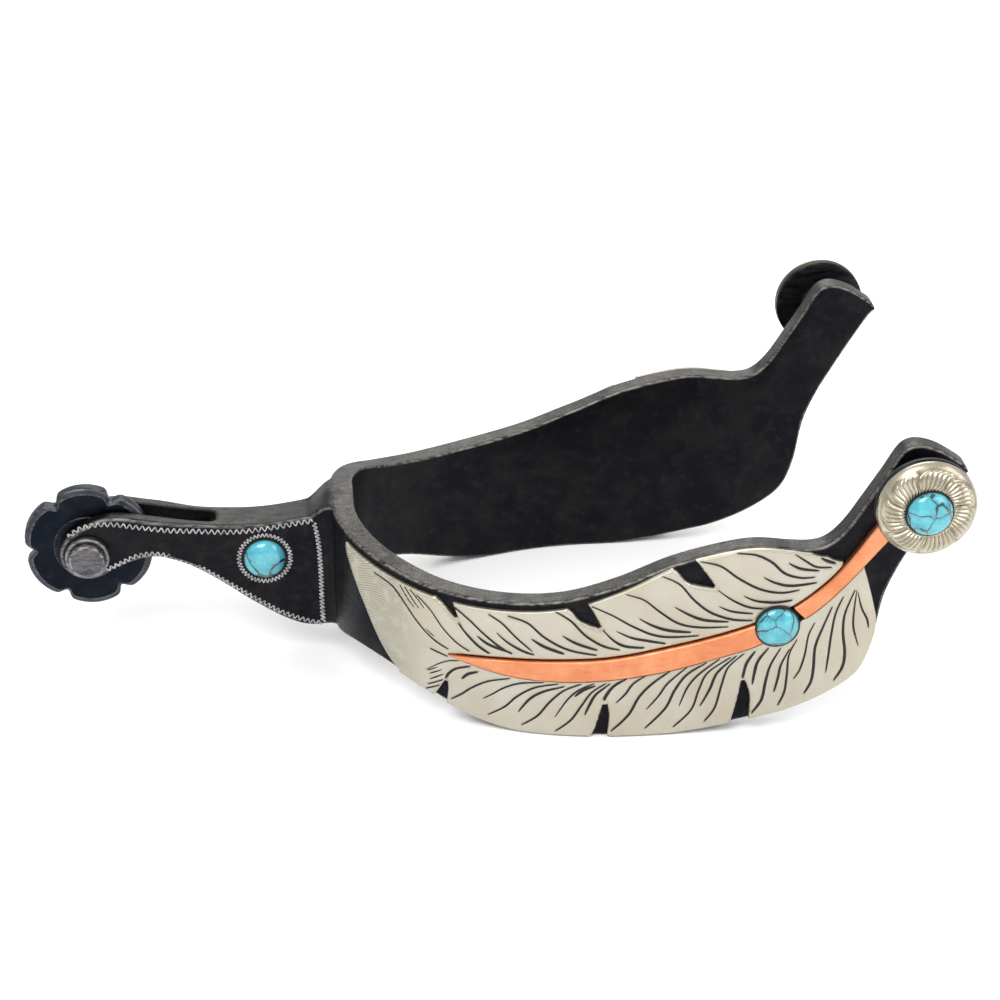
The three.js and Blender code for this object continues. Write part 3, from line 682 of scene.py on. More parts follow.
def rows_at(half):
    """y of each row: evenly spread out to the slot's edge, then stretched to reach the outside."""
    share = np.interp(np.abs(across), [slot_rows[-1], 1], [0, 1])
    inner = np.minimum(np.abs(across), slot_rows[-1]) * SHANK_HALF
    return np.sign(across) * (inner + share * (half - slot_rows[-1] * SHANK_HALF))


def shank_sheet(line, band_edge, outward):
    """The top or the underside. Along the fillet its stations lean until the last lies on the band, and
    its height passes smoothly to that of the band's own edge. Near the slot's end they lean back at its
    corners, x less r - sqrt(r^2 - d^2), which rounds them. Its ground is half the band's: it was rubbed
    only lightly."""
    x = np.repeat(shank_x[:, None], len(across), 1)
    sweep = np.clip((x - fillet_x) / (weld_x - fillet_x), 0, 1)
    y = rows_at(shank_half(x))
    x = x + (weld_line(rows_at(weld_y)) - weld_x) * sweep**2
    into_corner = np.clip(np.abs(y) - SLOT_HALF + SLOT_CORNER, 0, SLOT_CORNER)
    lean = SLOT_CORNER - np.sqrt(SLOT_CORNER**2 - into_corner**2)
    lean = lean * (1 - smoothstep(np.abs(y), SLOT_HALF, SLOT_HALF + 1.5))
    x = x - lean * (1 - smoothstep(np.abs(shank_x[:, None] - SLOT_END), 0, 4))
    blend = smoothstep(sweep, 0.1, 1.0)
    height = line(np.minimum(x, 0)) * (1 - blend) + band_edge(heel_distance(y)) * blend
    outline = np.stack([shank_x, line(shank_x)], 1)
    run = np.gradient(outline, axis=0)
    normal = outward * np.stack([-run[:, 1], run[:, 0]], 1) / np.linalg.norm(run, axis=1)[:, None]
    normal[0] = (-1, 0)
    slotted = shank_x[:, None] <= SLOT_END
    drop = np.maximum(out_drop, np.where(slotted, slot_drop, 0)) * (1 - blend * 0.3)
    x = x - normal[:, :1] * drop
    height = height - normal[:, 1:] * drop
    ground = RUBBED * np.clip(1 - 2.2 * np.broadcast_to(out_drop, x.shape) / SHANK_ROUND, 0, 1)
    # Halfway round the rolled rim: worn steel, and a painted highlight too.
    wear_and_highlight = np.sin(np.pi * np.clip(out_drop / SHANK_ROUND, 0, 1)) ** 1.5 + 0 * x
    return np.stack([x, y, height, ground, wear_and_highlight], -1)


station_middle = (shank_x[:-1] + shank_x[1:]) / 2
row_middle = (across[:-1] + across[1:]) / 2
shank_keep = ~((station_middle[:, None] < SLOT_END) & (np.abs(row_middle) * SHANK_HALF < SLOT_HALF))
shank_points, shank_faces = shell(
    shank_sheet(shank_top, band_top, 1), shank_sheet(shank_low, band_bottom, -1), shank_keep,
    levels=(0, 0.03, 0.25, 0.5, 0.75, 0.97, 1),
)
make_piece("shank_bar", shank_points, shank_faces, BLUED, ["shank"], STEEL_MARKS)

# %% [markdown]
# ## Round pieces
# Pins, washers, posts and stones are turned: half a profile spun about an axis. Here the axis always
# lies across the spur. The profile is a list of radii and heights, and one array multiplication spins
# it. A profile that starts and ends at radius 0 gives a solid closed at both poles. The Screw modifier
# spins a profile too; here the points are wanted at once, because some of them are hammered next.

# %% Turned pieces


def turn_profile(profile, side, x, z, segments=72, spread=None):
    """Points (x + r cos a, side * h, z + r sin a) for each profile point and each angle a. spread adds
    to a point's height, by its radius and angle, for a face that isn't quite true."""
    profile = np.asarray(profile, float)
    angle = np.linspace(0, 2 * math.pi, segments, endpoint=False)[None, :]
    radius, height = profile[:, 0:1], profile[:, 1:2] + 0 * angle
    if spread is not None:
        height = height + spread(radius, angle)
    ring = [x + radius * np.cos(angle), side * height, z + radius * np.sin(angle)]
    marks = [profile[:, k : k + 1] + 0 * angle for k in range(2, profile.shape[1])]
    points = np.stack([*ring, *marks], -1)
    return points.reshape(-1, points.shape[-1]), ring_faces(len(profile), segments)


def marked(profile, ground, wear_and_highlight):
    """A profile with the same ground on all of it, and at each point its own wear_and_highlight: worn
    steel, and a painted highlight on the corners.
    """
    profile = np.asarray(profile, float)
    wear_and_highlight = np.broadcast_to(np.asarray(wear_and_highlight, float), len(profile))
    return np.column_stack([profile, np.full(len(profile), ground), wear_and_highlight])


def arc(centre, radius, first, last, count):
    """Points of an arc from one angle to another, in degrees."""
    turn = np.radians(np.linspace(first, last, count))
    return np.stack([centre[0] + radius * np.cos(turn), centre[1] + radius * np.sin(turn)], 1)


print("a quarter of a ring of radius 1:", arc((0, 0), 1, 0, 90, 3).round(2).tolist())

# %% [markdown]
# ## Rowel
# A rowel is a wheel that turns against the horse's side. This one has six broad lobes with a small cut
# between them, so it rolls softly. Its outline is a radius for each angle: the far side of a circle
# set off from the centre, less a narrow dip at each cut. A short profile from bore to rim is then
# scaled to that outline at each angle, with a shallow step round the hub and a filed bevel at the rim.
# Sawing the cuts with Booleans would be one step more, and would leave the bevel out of every cut.

# %% Rowel
ROWEL_RADIUS, ROWEL_HALF = 12.7, 1.8
LOBES, LOBE_RADIUS, LOBE_TURN = 6, 9.0, math.radians(33.5)
CUT_DEPTH, CUT_HALF = 1.3, 1.15
BORE = 2.5
HUB_LINE = 6.6                                  # radius of the step round the hub


def rowel_radius(angle):
    """Radius of the outline at each angle. With c from the axis to a lobe's centre and a the angle from
    the lobe's middle it is c cos a + sqrt(r^2 - (c sin a)^2), less a bell curve at the cut."""
    half = math.pi / LOBES
    off = (angle - LOBE_TURN + half) % (2 * half) - half
    centre = ROWEL_RADIUS - LOBE_RADIUS
    lobe = centre * np.cos(off) + np.sqrt(LOBE_RADIUS**2 - (centre * np.sin(off)) ** 2)
    to_cut = (half - np.abs(off)) * lobe
    return lobe - CUT_DEPTH * np.exp(-((to_cut / CUT_HALF) ** 2.4))


def build_rowel():
    """Rings of a profile: inside the hub line a ring is round, and outside it follows the outline."""
    angle = np.linspace(0, 2 * math.pi, 480, endpoint=False)[None, :]
    rim = rowel_radius(angle)
    # share of the way from the bore to the hub line, then to the rim; depth from the face; ground;
    # wear_and_highlight, which lightens corners as worn steel and as a painted highlight
    face = [
        (-1.0, 0.15, 0, 0.2), (-0.96, 0.0, 0, 0), (-0.5, 0.0, 0, 0), (-0.03, 0.0, 0, 0.1),
        (0.0, 0.16, 0, 0.6), (0.03, 0.16, 0, 0), (0.4, 0.16, 0, 0), (0.78, 0.16, 0, 0),
        (0.8, 0.2, 0.5, 0.7), (0.84, 0.28, 1, 0.2), (0.93, 0.48, 1, 0.1), (0.965, 0.62, 1, 0.6),
        (0.99, 0.85, 0.7, 0.5), (1.0, 1.1, 0.5, 0.1),
    ]
    rings = []
    for share, depth, ground, wear_and_highlight in face:
        reach = HUB_LINE - BORE + 0 * angle if share < 0 else rim - HUB_LINE
        radius = HUB_LINE + share * reach
        rings.append((radius, ROWEL_HALF - depth, ground, wear_and_highlight))
    rings += [(radius, -height, ground, wear_and_highlight) for radius, height, ground, wear_and_highlight in rings[::-1]]
    points = np.stack([
        np.stack(np.broadcast_arrays(
            PIN_X + radius * np.cos(angle), height, PIN_Z + radius * np.sin(angle), ground, wear_and_highlight,
        ), -1)[0]
        for radius, height, ground, wear_and_highlight in rings
    ])
    faces = ring_faces(len(rings), angle.size, close_rows=True)
    make_piece(
        "rowel_wheel", points.reshape(-1, 5), faces, ROWEL_BLUED, ["rowel"],
        STEEL_MARKS, body=ROWEL_BODY, corner=30,
    )


build_rowel()

# %% [markdown]
# ## Pin and washers
# The rowel runs on a rivet. Each end is hammered down over a washer, which leaves a low dome covered
# in hammer marks. Two waves of the angle and the radius, multiplied, make those uneven marks. A bump
# texture would do from afar, but the light on the rim of each dent needs a real dent.

# %% Pin and washers
PIN_RADIUS, HEAD_RADIUS, HEAD_TO = 2.4, 3.5, 8.2
WASHER_RADIUS, WASHER_FROM, WASHER_TO = 4.3, 5.22, 6.6
CROWN_ROUND, WASHER_ROUND = 0.55, 0.35
HEAD_SINK = 0.05                                # how deep the head is pressed into its washer


def hammered(radius, angle):
    """Dents up to 0.18 mm deep that fade at the axis and stop short of the rim."""
    marks = np.sin(3 * angle + 1.7 * radius) * np.cos(2 * angle - 2.3 * radius) - 0.5
    return 0.12 * marks * np.clip(radius / 1.2, 0, 1) * (radius < HEAD_RADIUS - 0.2)


def build_pin():
    """Each half of the rivet, from the middle plane to its head, and the washer under that head."""
    crown = arc((HEAD_RADIUS - CROWN_ROUND, HEAD_TO - 0.6), CROWN_ROUND, 0, 70, 6)
    dome_r = np.linspace(crown[-1][0], 0, 12)[1:]
    dome = np.stack([dome_r, HEAD_TO - 0.06 * (dome_r / HEAD_RADIUS) ** 2], 1)
    # Lighter on the crown's curve: worn steel, and a painted highlight on the rounded edge.
    wear_and_highlight = [0, 0, 0.3, *[0.7] * len(crown), *[0.25] * len(dome)]
    half_pin = [(PIN_RADIUS, 0), (PIN_RADIUS, WASHER_TO), (HEAD_RADIUS, WASHER_TO + 0.02), *crown, *dome]
    for name, side in SIDES:
        profile = marked([(0, 0), *half_pin], 0.4, [0, *wear_and_highlight])
        points, faces = turn_profile(profile, side, PIN_X, PIN_Z, spread=hammered)
        points[:, 1] = side * np.maximum(side * points[:, 1], 0)
        replaced = ["rowel_pin"] if side < 0 else []
        make_piece(f"pin_end_{name}", points, faces, PIN_STEEL, replaced, STEEL_MARKS)
        bore = PIN_RADIUS + 0.02
        ring = [
            (bore, WASHER_FROM), (WASHER_RADIUS, WASHER_FROM),
            *arc((WASHER_RADIUS - WASHER_ROUND, WASHER_TO - WASHER_ROUND), WASHER_ROUND, 0, 90, 5),
            (HEAD_RADIUS + 0.2, WASHER_TO), (HEAD_RADIUS, WASHER_TO - HEAD_SINK),
            (bore, WASHER_TO - HEAD_SINK), (bore, WASHER_FROM),
        ]
        # The washer's rounded rim is lightened: worn steel, and a painted highlight.
        profile = marked(ring, 0.7, [0, 0.2, *[0.6] * 5, 0.2, 0, 0, 0])
        points, faces = turn_profile(profile, side, PIN_X, PIN_Z)
        make_piece(
            f"washer_{name}", points, faces, PIN_STEEL, [f"pin_washer_{name}"], STEEL_MARKS,
        )


build_pin()

# %% [markdown]
# ## Wriggle-cut border
# The bright zigzag round the shank is wriggle work: a flat graver is rocked from side to side as it is
# pushed, and each rock cuts through the blueing to white steel. A line is a wave carried along a path
# on the cheek, and a small three-sided bar is carried along the wave, so that the cut catches light. A
# curve object with a bevel makes such a bar as well; here its faces are made at once, ready to join.

# %% Border
TOP_PATH = [
    (-55.4, 6.7), (-53.4, 8.2), (-50.4, 9.0), (-47, 9.0), (-44, 8.5), (-40, 7.8), (-35, 6.9), (-30, 6.2),
    (-25, 5.8), (-20, 5.9), (-15, 6.5), (-10, 7.3), (-8.2, 7.5),
]
FRONT_PATH = [(-7.9, 7.2), (-7.3, 4), (-7.0, 0), (-6.9, -5), (-6.9, -10), (-6.8, -14.7)]
LOW_PATH = [
    (-48.9, -1.0), (-46, 0.4), (-43, 1.8), (-40, 2.3), (-37, 1.8), (-34, 0.5), (-30, -2.0), (-25, -5.5),
    (-20, -9.1), (-15, -12.4), (-10, -14.6), (-7.2, -15.1),
]
SHANK_STONE = (-17.8, -0.3)
RING_RADIUS = 5.05                              # of the zigzag round the stone
BORDER_WIDTH, BORDER_HEIGHT, BORDER_SINK = 0.33, 0.07, 0.02


def resample(path, step):
    """The same path with points a fixed length apart."""
    run = np.concatenate([[0], np.cumsum(np.linalg.norm(np.diff(path, axis=0), axis=1))])
    count = max(2, int(round(run[-1] / step)) + 1)
    where = np.linspace(0, run[-1], count)
    return np.stack([np.interp(where, run, path[:, k]) for k in range(path.shape[1])], 1), where


def wave_along(path, pitch, swing, sharp=0.92):
    """A zigzag with slightly rounded turns: the path plus its normal times a softened triangle wave."""
    path, where = resample(path, pitch / 10)
    run = np.gradient(path, axis=0)
    normal = np.stack([-run[:, 1], run[:, 0]], 1) / np.linalg.norm(run, axis=1)[:, None]
    wave = np.arcsin(sharp * np.sin(2 * math.pi * where / pitch)) / math.asin(sharp)
    return path + normal * (swing * wave)[:, None]


def close_bar(rings):
    """Points and faces of a bar given as rings of three points, with a flat cap at each end."""
    last = 3 * len(rings) - 1
    caps = [[0, 1, 2, 2], [last, last - 1, last - 2, last - 2]]
    return rings.reshape(-1, 3), np.concatenate([ring_faces(len(rings), 3), caps])


def bar_along(path, out, width, height):
    """A bar with a three-sided section laid on a surface. path is its middle line on that surface and out
    the direction away from it; width and height are those of the section."""
    run = np.gradient(path, axis=0)
    sideways = np.cross(run, out)
    sideways *= width / 2 / np.linalg.norm(sideways, axis=1)[:, None]
    return close_bar(np.stack([path + sideways, path + out * height, path - sideways], 1))


def join_shells(shells):
    """Several separate shells as one set of points and faces."""
    offset = np.cumsum([0] + [len(points) for points, _ in shells])[:-1]
    points = np.concatenate([points for points, _ in shells])
    return points, np.concatenate([faces + k for (_, faces), k in zip(shells, offset)])


def build_border(name, side):
    """The three lines of the border and the ring round the stone, each with its own pitch and swing."""
    cuts = [
        (smooth_curve(TOP_PATH, 400), 1.22, 0.5), (smooth_curve(FRONT_PATH, 200), 0.8, 0.4),
        (smooth_curve(LOW_PATH, 400), 1.08, 0.42), (arc(SHANK_STONE, RING_RADIUS, 0, 360, 200), 0.76, 0.42),
    ]
    bars = []
    for path, pitch, swing in cuts:
        wave = wave_along(path, pitch, swing)
        surface = np.stack([wave[:, 0], side * shank_half(wave[:, 0]), wave[:, 1]], 1)
        out = np.zeros_like(surface)
        out[:, 1] = side
        bars.append(bar_along(surface - BORDER_SINK * out, out, BORDER_WIDTH, BORDER_HEIGHT))
    points, faces = join_shells(bars)
    make_piece(f"border_{name}", points, faces, BRIGHT_CUT, corner=80)


for name, side in SIDES:
    build_border(name, side)

# %% [markdown]
# ## Feather
# The feather is sawn from sheet, its notches included, bevelled round the edge and engraved. It is a
# grid again: along the band in one direction, and in the other from the quill out to the edge of each
# vane. The notches don't follow the grid, so the points nearest to their outline are moved onto it
# before the cells inside are dropped. That keeps the saw cuts clean with no finer grid. Filling a drawn
# outline would be simpler, but would leave no inner points for the engraving to press down.

# %% Feather outline
QUILL_TOP = [
    [36, -7.4], [45, -6.4], [55, -5.6], [65, -4.7], [75, -2.9], [84, -0.9], [91.5, 1.4],
    [98.5, 4.6], [104.5, 9.4], [108.5, 14.2], [112.2, 19.6], [114.8, 23.2],
]
QUILL_LOW = [
    [36, -7.4], [40, -8.3], [46, -9.4], [52, -9.8], [60, -9.6], [70, -8.5], [77, -7.3], [85, -5.2],
    [92.4, -2.8], [100.6, 2.2], [105.5, 6.3], [110.5, 11.9], [115.1, 17.5], [117.6, 20.8],
]
# the slanted end at the heel and the round end at the button, as places (z, s)
LEFT_EDGE = [
    (9.4, 13.6), (7, 13.9), (5.0, 14.6), (-0.1, 16.8), (-5.0, 19.1), (-9.2, 21.4), (-12.6, 24.0),
    (-14, 25.6),
]
RIGHT_EDGE = [
    (-12.4, 108.8), (-10.6, 110.7), (-8.6, 112.1), (-5.6, 113.3), (-2.6, 114.1), (0.4, 114.4),
    (3, 114.1), (6.6, 113.2), (10.8, 112.0), (13.2, 111.2),
]
QUILL_START, VANE_END = 36.0, 107.4
SHEET_FROM, SHEET_TO = BAND_THICKNESS + 0.02, 5.5
# each notch: its mouth and two places down the side nearer the tip, its point, then a place up the
# other side and the mouth again
NOTCHES = [
    [(31.2, 5.4), (33.3, 4.2), (35.4, 2.4), (38.1, -0.4), (37.3, 2.4), (36.2, 5.4)],
    [(55.6, 6.9), (58.0, 5.0), (59.7, 3.0), (63.5, 1.4), (61.9, 4.8), (60.0, 8.6)],
    [(73.0, 14.9), (76.4, 13.2), (78.9, 10.6), (84.1, 9.2), (81.6, 12.9), (78.8, 16.9)],
    [(32.5, -17.9), (33.6, -16.2), (34.6, -14.4), (35.6, -12.6), (35.8, -15.2), (35.4, -18.9)],
    [(61.2, -22.4), (62.3, -20.3), (63.1, -17.3), (64.1, -13.4), (64.8, -16.5), (64.6, -22.4)],
    [(87.4, -20.8), (88.3, -17.0), (89.0, -13.4), (89.6, -9.8), (91.1, -14.0), (91.1, -20.4)],
]
quill_top, quill_low = height_along(QUILL_TOP), height_along(QUILL_LOW)
left_edge, right_edge = height_along(LEFT_EDGE), height_along(RIGHT_EDGE)


def silver_top(s):
    """Upper edge of the feather: about 1.5 mm of black steel shows above it at the heel and almost none
    at the hump, and past the hump it runs down to the quill."""
    margin = np.interp(s, [60, 80, 98], [1.45, 0.05, 0.3])
    closing = np.interp(s, [98, 101.5, 104.6, VANE_END], [0, 0.3, 1.7, 5.3])
    return band_top(s) - margin - closing


def silver_low(s):
    """Lower edge of the feather, a little above the band's."""
    return band_bottom(s) + 0.3


def notch_outline(notch):
    """The notch as a closed loop: each side is a smooth curve through its places."""
    first = smooth_curve(notch[:4], 36)
    second = smooth_curve(notch[3:], 24)
    return np.concatenate([first, second[1:]])


def nearest_on_loop(where, loop):
    """For each point: the nearest place on the loop, its distance, and whether the point is inside. The
    place on a side is its start plus the share, held in 0..1, of the point's projection on it."""
    start, end = loop, np.roll(loop, -1, 0)
    side = end - start
    from_start = where[:, None] - start
    share = np.clip((from_start * side).sum(-1) / np.maximum((side**2).sum(-1), 1e-12), 0, 1)
    away = from_start - share[..., None] * side
    distance = np.linalg.norm(away, axis=-1)
    best = distance.argmin(1)
    pick = np.arange(len(where))
    above = (start[:, 1] > where[:, 1:2]) != (end[:, 1] > where[:, 1:2])
    rise = np.where(np.abs(side[:, 1]) < 1e-12, 1e-12, side[:, 1])
    crossing = start[:, 0] + (where[:, 1:2] - start[:, 1]) / rise * side[:, 0]
    inside = (above & (where[:, 0:1] < crossing)).sum(1) % 2 == 1
    return where - away[pick, best], distance[pick, best], inside


feather_height = float(silver_top(80.0) - silver_low(80.0))
print(f"{len(NOTCHES)} notches in a feather {feather_height:.1f} mm high at its middle")

# %% [markdown]
# ## Barbs
# Each barb is one sweep of the graver. It leaves the quill almost along it, stands up through the
# middle of the vane and lies over again at the edge, like a long S. A few places that it passes
# through are enough, and the same curve that fairs the edges of the band fairs these. A formula could
# lay the barbs evenly, but a hand never does, and that unevenness is what makes it a feather.

# %% Barbs
BOLDNESS = 1.3                                  # a deep cut comes out this much wider than it is drawn
# width of the cut, then the places (s, z) that it passes through
LONG_CUTS = [
    (0.26, (20.5, 5.4), (24.5, 4.0), (27.0, 1.5), (30.0, -2.2), (33.0, -4.9), (36.0, -6.4)),
    (0.24, (29.8, 3.6), (32.5, 1.3), (35.0, -2.0), (37.5, -4.4), (40.0, -5.9)),
    (0.4, (37.9, -0.2), (39.5, -2.1), (41.5, -4.1), (43.7, -5.6)),
    (0.34, (37.2, 3.0), (40.0, 1.0), (43.0, -1.7), (46.0, -4.0), (47.8, -4.9)),
    (0.3, (43.5, 2.9), (46.0, 1.4), (48.5, -1.2), (51.4, -3.9)),
    (0.36, (47.0, 3.1), (50.5, 2.1), (53.5, -0.6), (57.5, -2.9), (62.5, -4.0)),
    (0.38, (55.3, 5.0), (58.0, 3.2), (60.5, 0.3), (63.5, -1.9), (66.5, -2.9)),
    (0.4, (63.5, 1.4), (65.5, -0.9), (67.5, -2.1), (70.8, -2.6)),
    (0.36, (61.5, 6.4), (65.0, 4.6), (68.5, 2.2), (72.0, 0.3), (75.5, -0.5), (81.0, -0.5)),
    (0.36, (67.3, 8.9), (70.5, 7.6), (73.5, 5.0), (77.0, 2.4), (81.0, 1.3), (86.5, 1.1)),
    (0.4, (73.7, 12.4), (77.0, 10.6), (79.8, 7.2), (83.0, 4.4), (87.0, 2.7), (91.0, 2.2)),
    (0.36, (84.2, 9.0), (87.0, 6.8), (90.0, 5.2), (93.0, 4.6)),
    (0.4, (80.7, 15.1), (84.5, 14.0), (88.0, 11.3), (92.0, 8.9), (96.0, 7.9), (99.5, 8.3)),
    (0.4, (87.5, 16.5), (91.0, 16.0), (94.0, 14.4), (96.5, 12.0), (99.5, 10.9), (102.3, 10.9)),
    (0.32, (98.3, 15.8), (100.5, 14.2), (102.5, 13.0), (105.3, 12.8)),
    (0.4, (40.2, -9.1), (37.5, -10.2), (36.0, -11.7), (35.4, -13.0)),
    (0.32, (47.5, -10.3), (43.5, -11.6), (40.5, -13.6), (38.5, -15.5), (36.4, -17.2)),
    (0.32, (56.0, -10.5), (52.0, -11.6), (48.8, -13.9), (46.5, -16.6), (43.4, -19.0)),
    (0.34, (60.0, -10.3), (57.0, -11.8), (54.5, -14.5), (52.3, -17.8), (49.5, -20.2)),
    (0.34, (64.2, -10.1), (61.8, -12.0), (60.0, -15.0), (58.2, -18.2), (55.5, -20.9)),
    (0.46, (67.8, -9.1), (65.6, -10.6), (64.4, -12.4), (63.9, -13.8)),
    (0.42, (75.8, -7.9), (72.5, -10.4), (70.0, -13.2), (68.2, -17.0), (65.2, -20.6)),
    (0.42, (82.7, -6.4), (79.0, -8.8), (76.8, -12.0), (75.0, -16.0), (71.3, -20.2)),
    (0.34, (87.2, -5.5), (83.0, -8.5), (81.4, -12.0), (80.0, -16.5), (76.7, -20.2)),
    (0.36, (89.7, -4.8), (86.8, -7.6), (85.6, -11.5), (84.5, -16.3), (82.6, -19.3)),
    (0.46, (91.8, -4.4), (90.2, -7.0), (89.6, -10.2)),
    (0.46, (96.6, -4.0), (94.8, -7.5), (94.0, -11.0), (93.4, -15.0), (91.6, -18.0)),
    (0.36, (99.6, -2.2), (98.2, -5.5), (98.0, -9.5), (97.7, -13.5), (96.6, -16.5)),
    (0.46, (105.9, 4.4), (104.3, 0.0), (103.1, -4.0), (103.0, -8.5), (102.7, -11.5), (101.5, -14.2)),
    (0.46, (110.0, 7.8), (108.4, 3.0), (108.2, -1.0), (108.8, -5.5), (108.5, -8.8), (107.0, -11.6)),
]
SHORT_CUTS = [
    (0.46, (41.5, -2.2), (43.5, -3.5), (46.8, -4.5)),
    (0.36, (45.0, -0.8), (47.0, -2.5), (49.5, -3.9), (51.7, -4.6)),
    (0.5, (51.2, -1.2), (53.5, -2.6), (56.9, -3.9)),
    (0.44, (56.6, 0.0), (58.8, -1.4), (62.6, -2.9)),
    (0.4, (65.8, 1.2), (68.5, -0.3), (71.0, -1.0), (74.8, -1.9)),
    (0.48, (69.7, 3.7), (72.5, 2.0), (75.5, 0.9), (79.5, 0.3)),
    (0.46, (76.2, 5.9), (79.0, 4.1), (82.0, 2.8), (86.5, 2.2)),
    (0.34, (84.5, 5.6), (87.0, 4.4), (91.0, 3.7)),
    (0.42, (89.0, 7.6), (91.5, 6.4), (95.0, 5.9), (98.3, 6.2)),
    (0.46, (92.6, 11.3), (95.0, 10.0), (98.0, 9.3), (102.7, 9.7)),
    (0.42, (97.2, 14.0), (99.5, 12.8), (103.0, 12.2)),
    (0.42, (103.2, 14.8), (104.5, 14.1), (106.0, 13.6)),
    (0.44, (41.6, -10.0), (39.8, -10.8), (38.5, -12.2)),
    (0.26, (53.5, -10.4), (49.5, -11.0), (46.5, -12.4), (44.3, -14.2), (42.5, -15.6)),
    (0.4, (57.0, -11.0), (53.5, -12.3), (51.0, -14.2), (48.9, -17.4)),
    (0.26, (62.2, -10.1), (59.5, -11.6), (57.5, -13.9), (55.4, -17.8)),
    (0.44, (62.4, -10.6), (60.4, -11.5), (58.8, -13.0)),
    (0.42, (65.0, -10.1), (62.6, -12.3), (61.5, -14.5), (60.6, -17.0)),
    (0.3, (71.5, -8.4), (69.0, -10.2), (67.6, -12.4), (66.0, -14.3)),
    (0.32, (79.0, -7.2), (75.5, -10.4), (73.8, -13.0), (71.5, -16.0)),
    (0.32, (85.2, -5.7), (81.5, -8.6), (79.2, -11.5), (77.7, -15.6)),
    (0.42, (88.3, -5.2), (84.8, -8.6), (83.4, -12.2), (81.7, -15.8)),
    (0.48, (94.3, -3.8), (92.4, -6.5), (91.8, -9.0), (91.5, -11.6)),
    (0.4, (98.3, -4.2), (96.8, -7.5), (96.3, -10.5), (95.7, -13.5)),
    (0.32, (102.8, 1.2), (101.7, -1.5), (101.2, -5.5), (100.4, -8.8), (99.3, -10.8)),
    (0.36, (107.9, 6.5), (106.6, 3.0), (106.0, -1.5), (105.7, -6.0), (105.4, -9.8)),
    (0.34, (110.3, 7.8), (110.0, 2.5), (110.2, -0.5), (111.3, -4.2)),
    (0.34, (110.5, 7.4), (111.4, 4.0), (112.6, 1.5), (113.0, -0.4)),
]
HAIR_CUTS = [
    (0.16, (26.3, 4.7), (28.0, 2.2), (29.3, 0.8)),
    (0.16, (27.3, 4.6), (29.0, 2.4), (30.2, 0.9)),
    (0.16, (28.4, 4.4), (30.0, 2.8), (31.3, 1.2)),
    (0.16, (31.6, -3.1), (33.2, -4.3)),
    (0.18, (32.4, -7.2), (35.9, -8.0)),
    (0.2, (38.0, -8.4), (36.0, -8.9), (34.0, -10.1), (31.5, -12.1)),
    (0.24, (33.8, -10.9), (31.8, -12.1)),
    (0.26, (34.7, -11.2), (32.2, -12.7)),
    (0.28, (35.0, -12.1), (32.3, -13.9)),
    (0.26, (34.9, -13.4), (31.8, -15.2)),
    (0.22, (34.2, -14.8), (31.4, -16.3)),
]


def all_cuts():
    """Middle line and width of every engraved cut, drawn flat."""
    drawn = [(places, BOLDNESS * width) for width, *places in LONG_CUTS + SHORT_CUTS]
    drawn += [(places, width) for width, *places in HAIR_CUTS]
    return [(smooth_curve(places, 16 * len(places)), width) for places, width in drawn]


CUTS = all_cuts()
print(len(CUTS), "engraved cuts")

# %% [markdown]
# The feather's grid is drawn flat, fitted to the slanted end at the heel and the round end at the
# button, snapped to the notches, lowered along every edge for the bevel and along every engraved cut
# for the groove, and bent last. Distances for the bevel are measured on the flat drawing.

# %% Feather sheet
GRID_STEP = 0.28
GRID_FROM, GRID_TO = 20.0, 112.0                # s of the grid's ends before they are fitted
FLAT_ROWS = 50                                  # rows across each vane, besides those of its rims
VANE_WIDTH = 15                                 # usual width of a vane
BEVEL_WIDTH, BEVEL_DROP = 0.4, 0.34
GROOVE_DEPTH = 0.16
HATCH_PITCH, HATCH_SLOPE, HATCH_CURVE, HATCH_FROM = 0.52, 0.9, 0.045, 12


def feather_grid():
    """Flat grid of the feather: s for each station and row, z, the share u across the vane, whether a
    row is in the upper vane. The ends depend on z and z on the ends, so a few rounds settle both."""
    rim = np.array([0, 0.09, 0.2, 0.36]) / VANE_WIDTH
    flat = np.linspace(rim[-1], 1 - rim[-1], FLAT_ROWS)[1:-1]
    half_rows = np.concatenate([rim, flat, 1 - rim[::-1]])
    u = np.concatenate([half_rows[::-1], half_rows])
    upper = np.concatenate([np.zeros(len(half_rows), bool), np.ones(len(half_rows), bool)])
    nominal = np.arange(GRID_FROM, GRID_TO + GRID_STEP / 2, GRID_STEP)
    nominal = np.append(nominal[:-1], GRID_TO)
    s = np.repeat(nominal[:, None], len(u), 1)
    for _ in range(6):
        z = vane_height(s, u, upper)
        at_left = (left_edge(z) - GRID_FROM) * (1 - smoothstep(nominal, GRID_FROM, 42))[:, None]
        at_right = (right_edge(z) - GRID_TO) * smoothstep(nominal, 94, GRID_TO)[:, None]
        s = nominal[:, None] + at_left + np.where(upper, 0, at_right)
    return s, vane_height(s, u, upper), u, upper


def vane_height(s, u, upper):
    """Height of the share u of the way from the quill to the outer edge, leaving a narrow gap beside the
    quill that opens where the quill begins."""
    gap = 0.3 * smoothstep(s, QUILL_START, QUILL_START + 3)
    high = quill_top(s) + gap
    low = quill_low(s) - gap
    top = np.maximum(silver_top(s), high + 0.02)
    return np.where(upper, high + (top - high) * u, low + (silver_low(s) - low) * u)


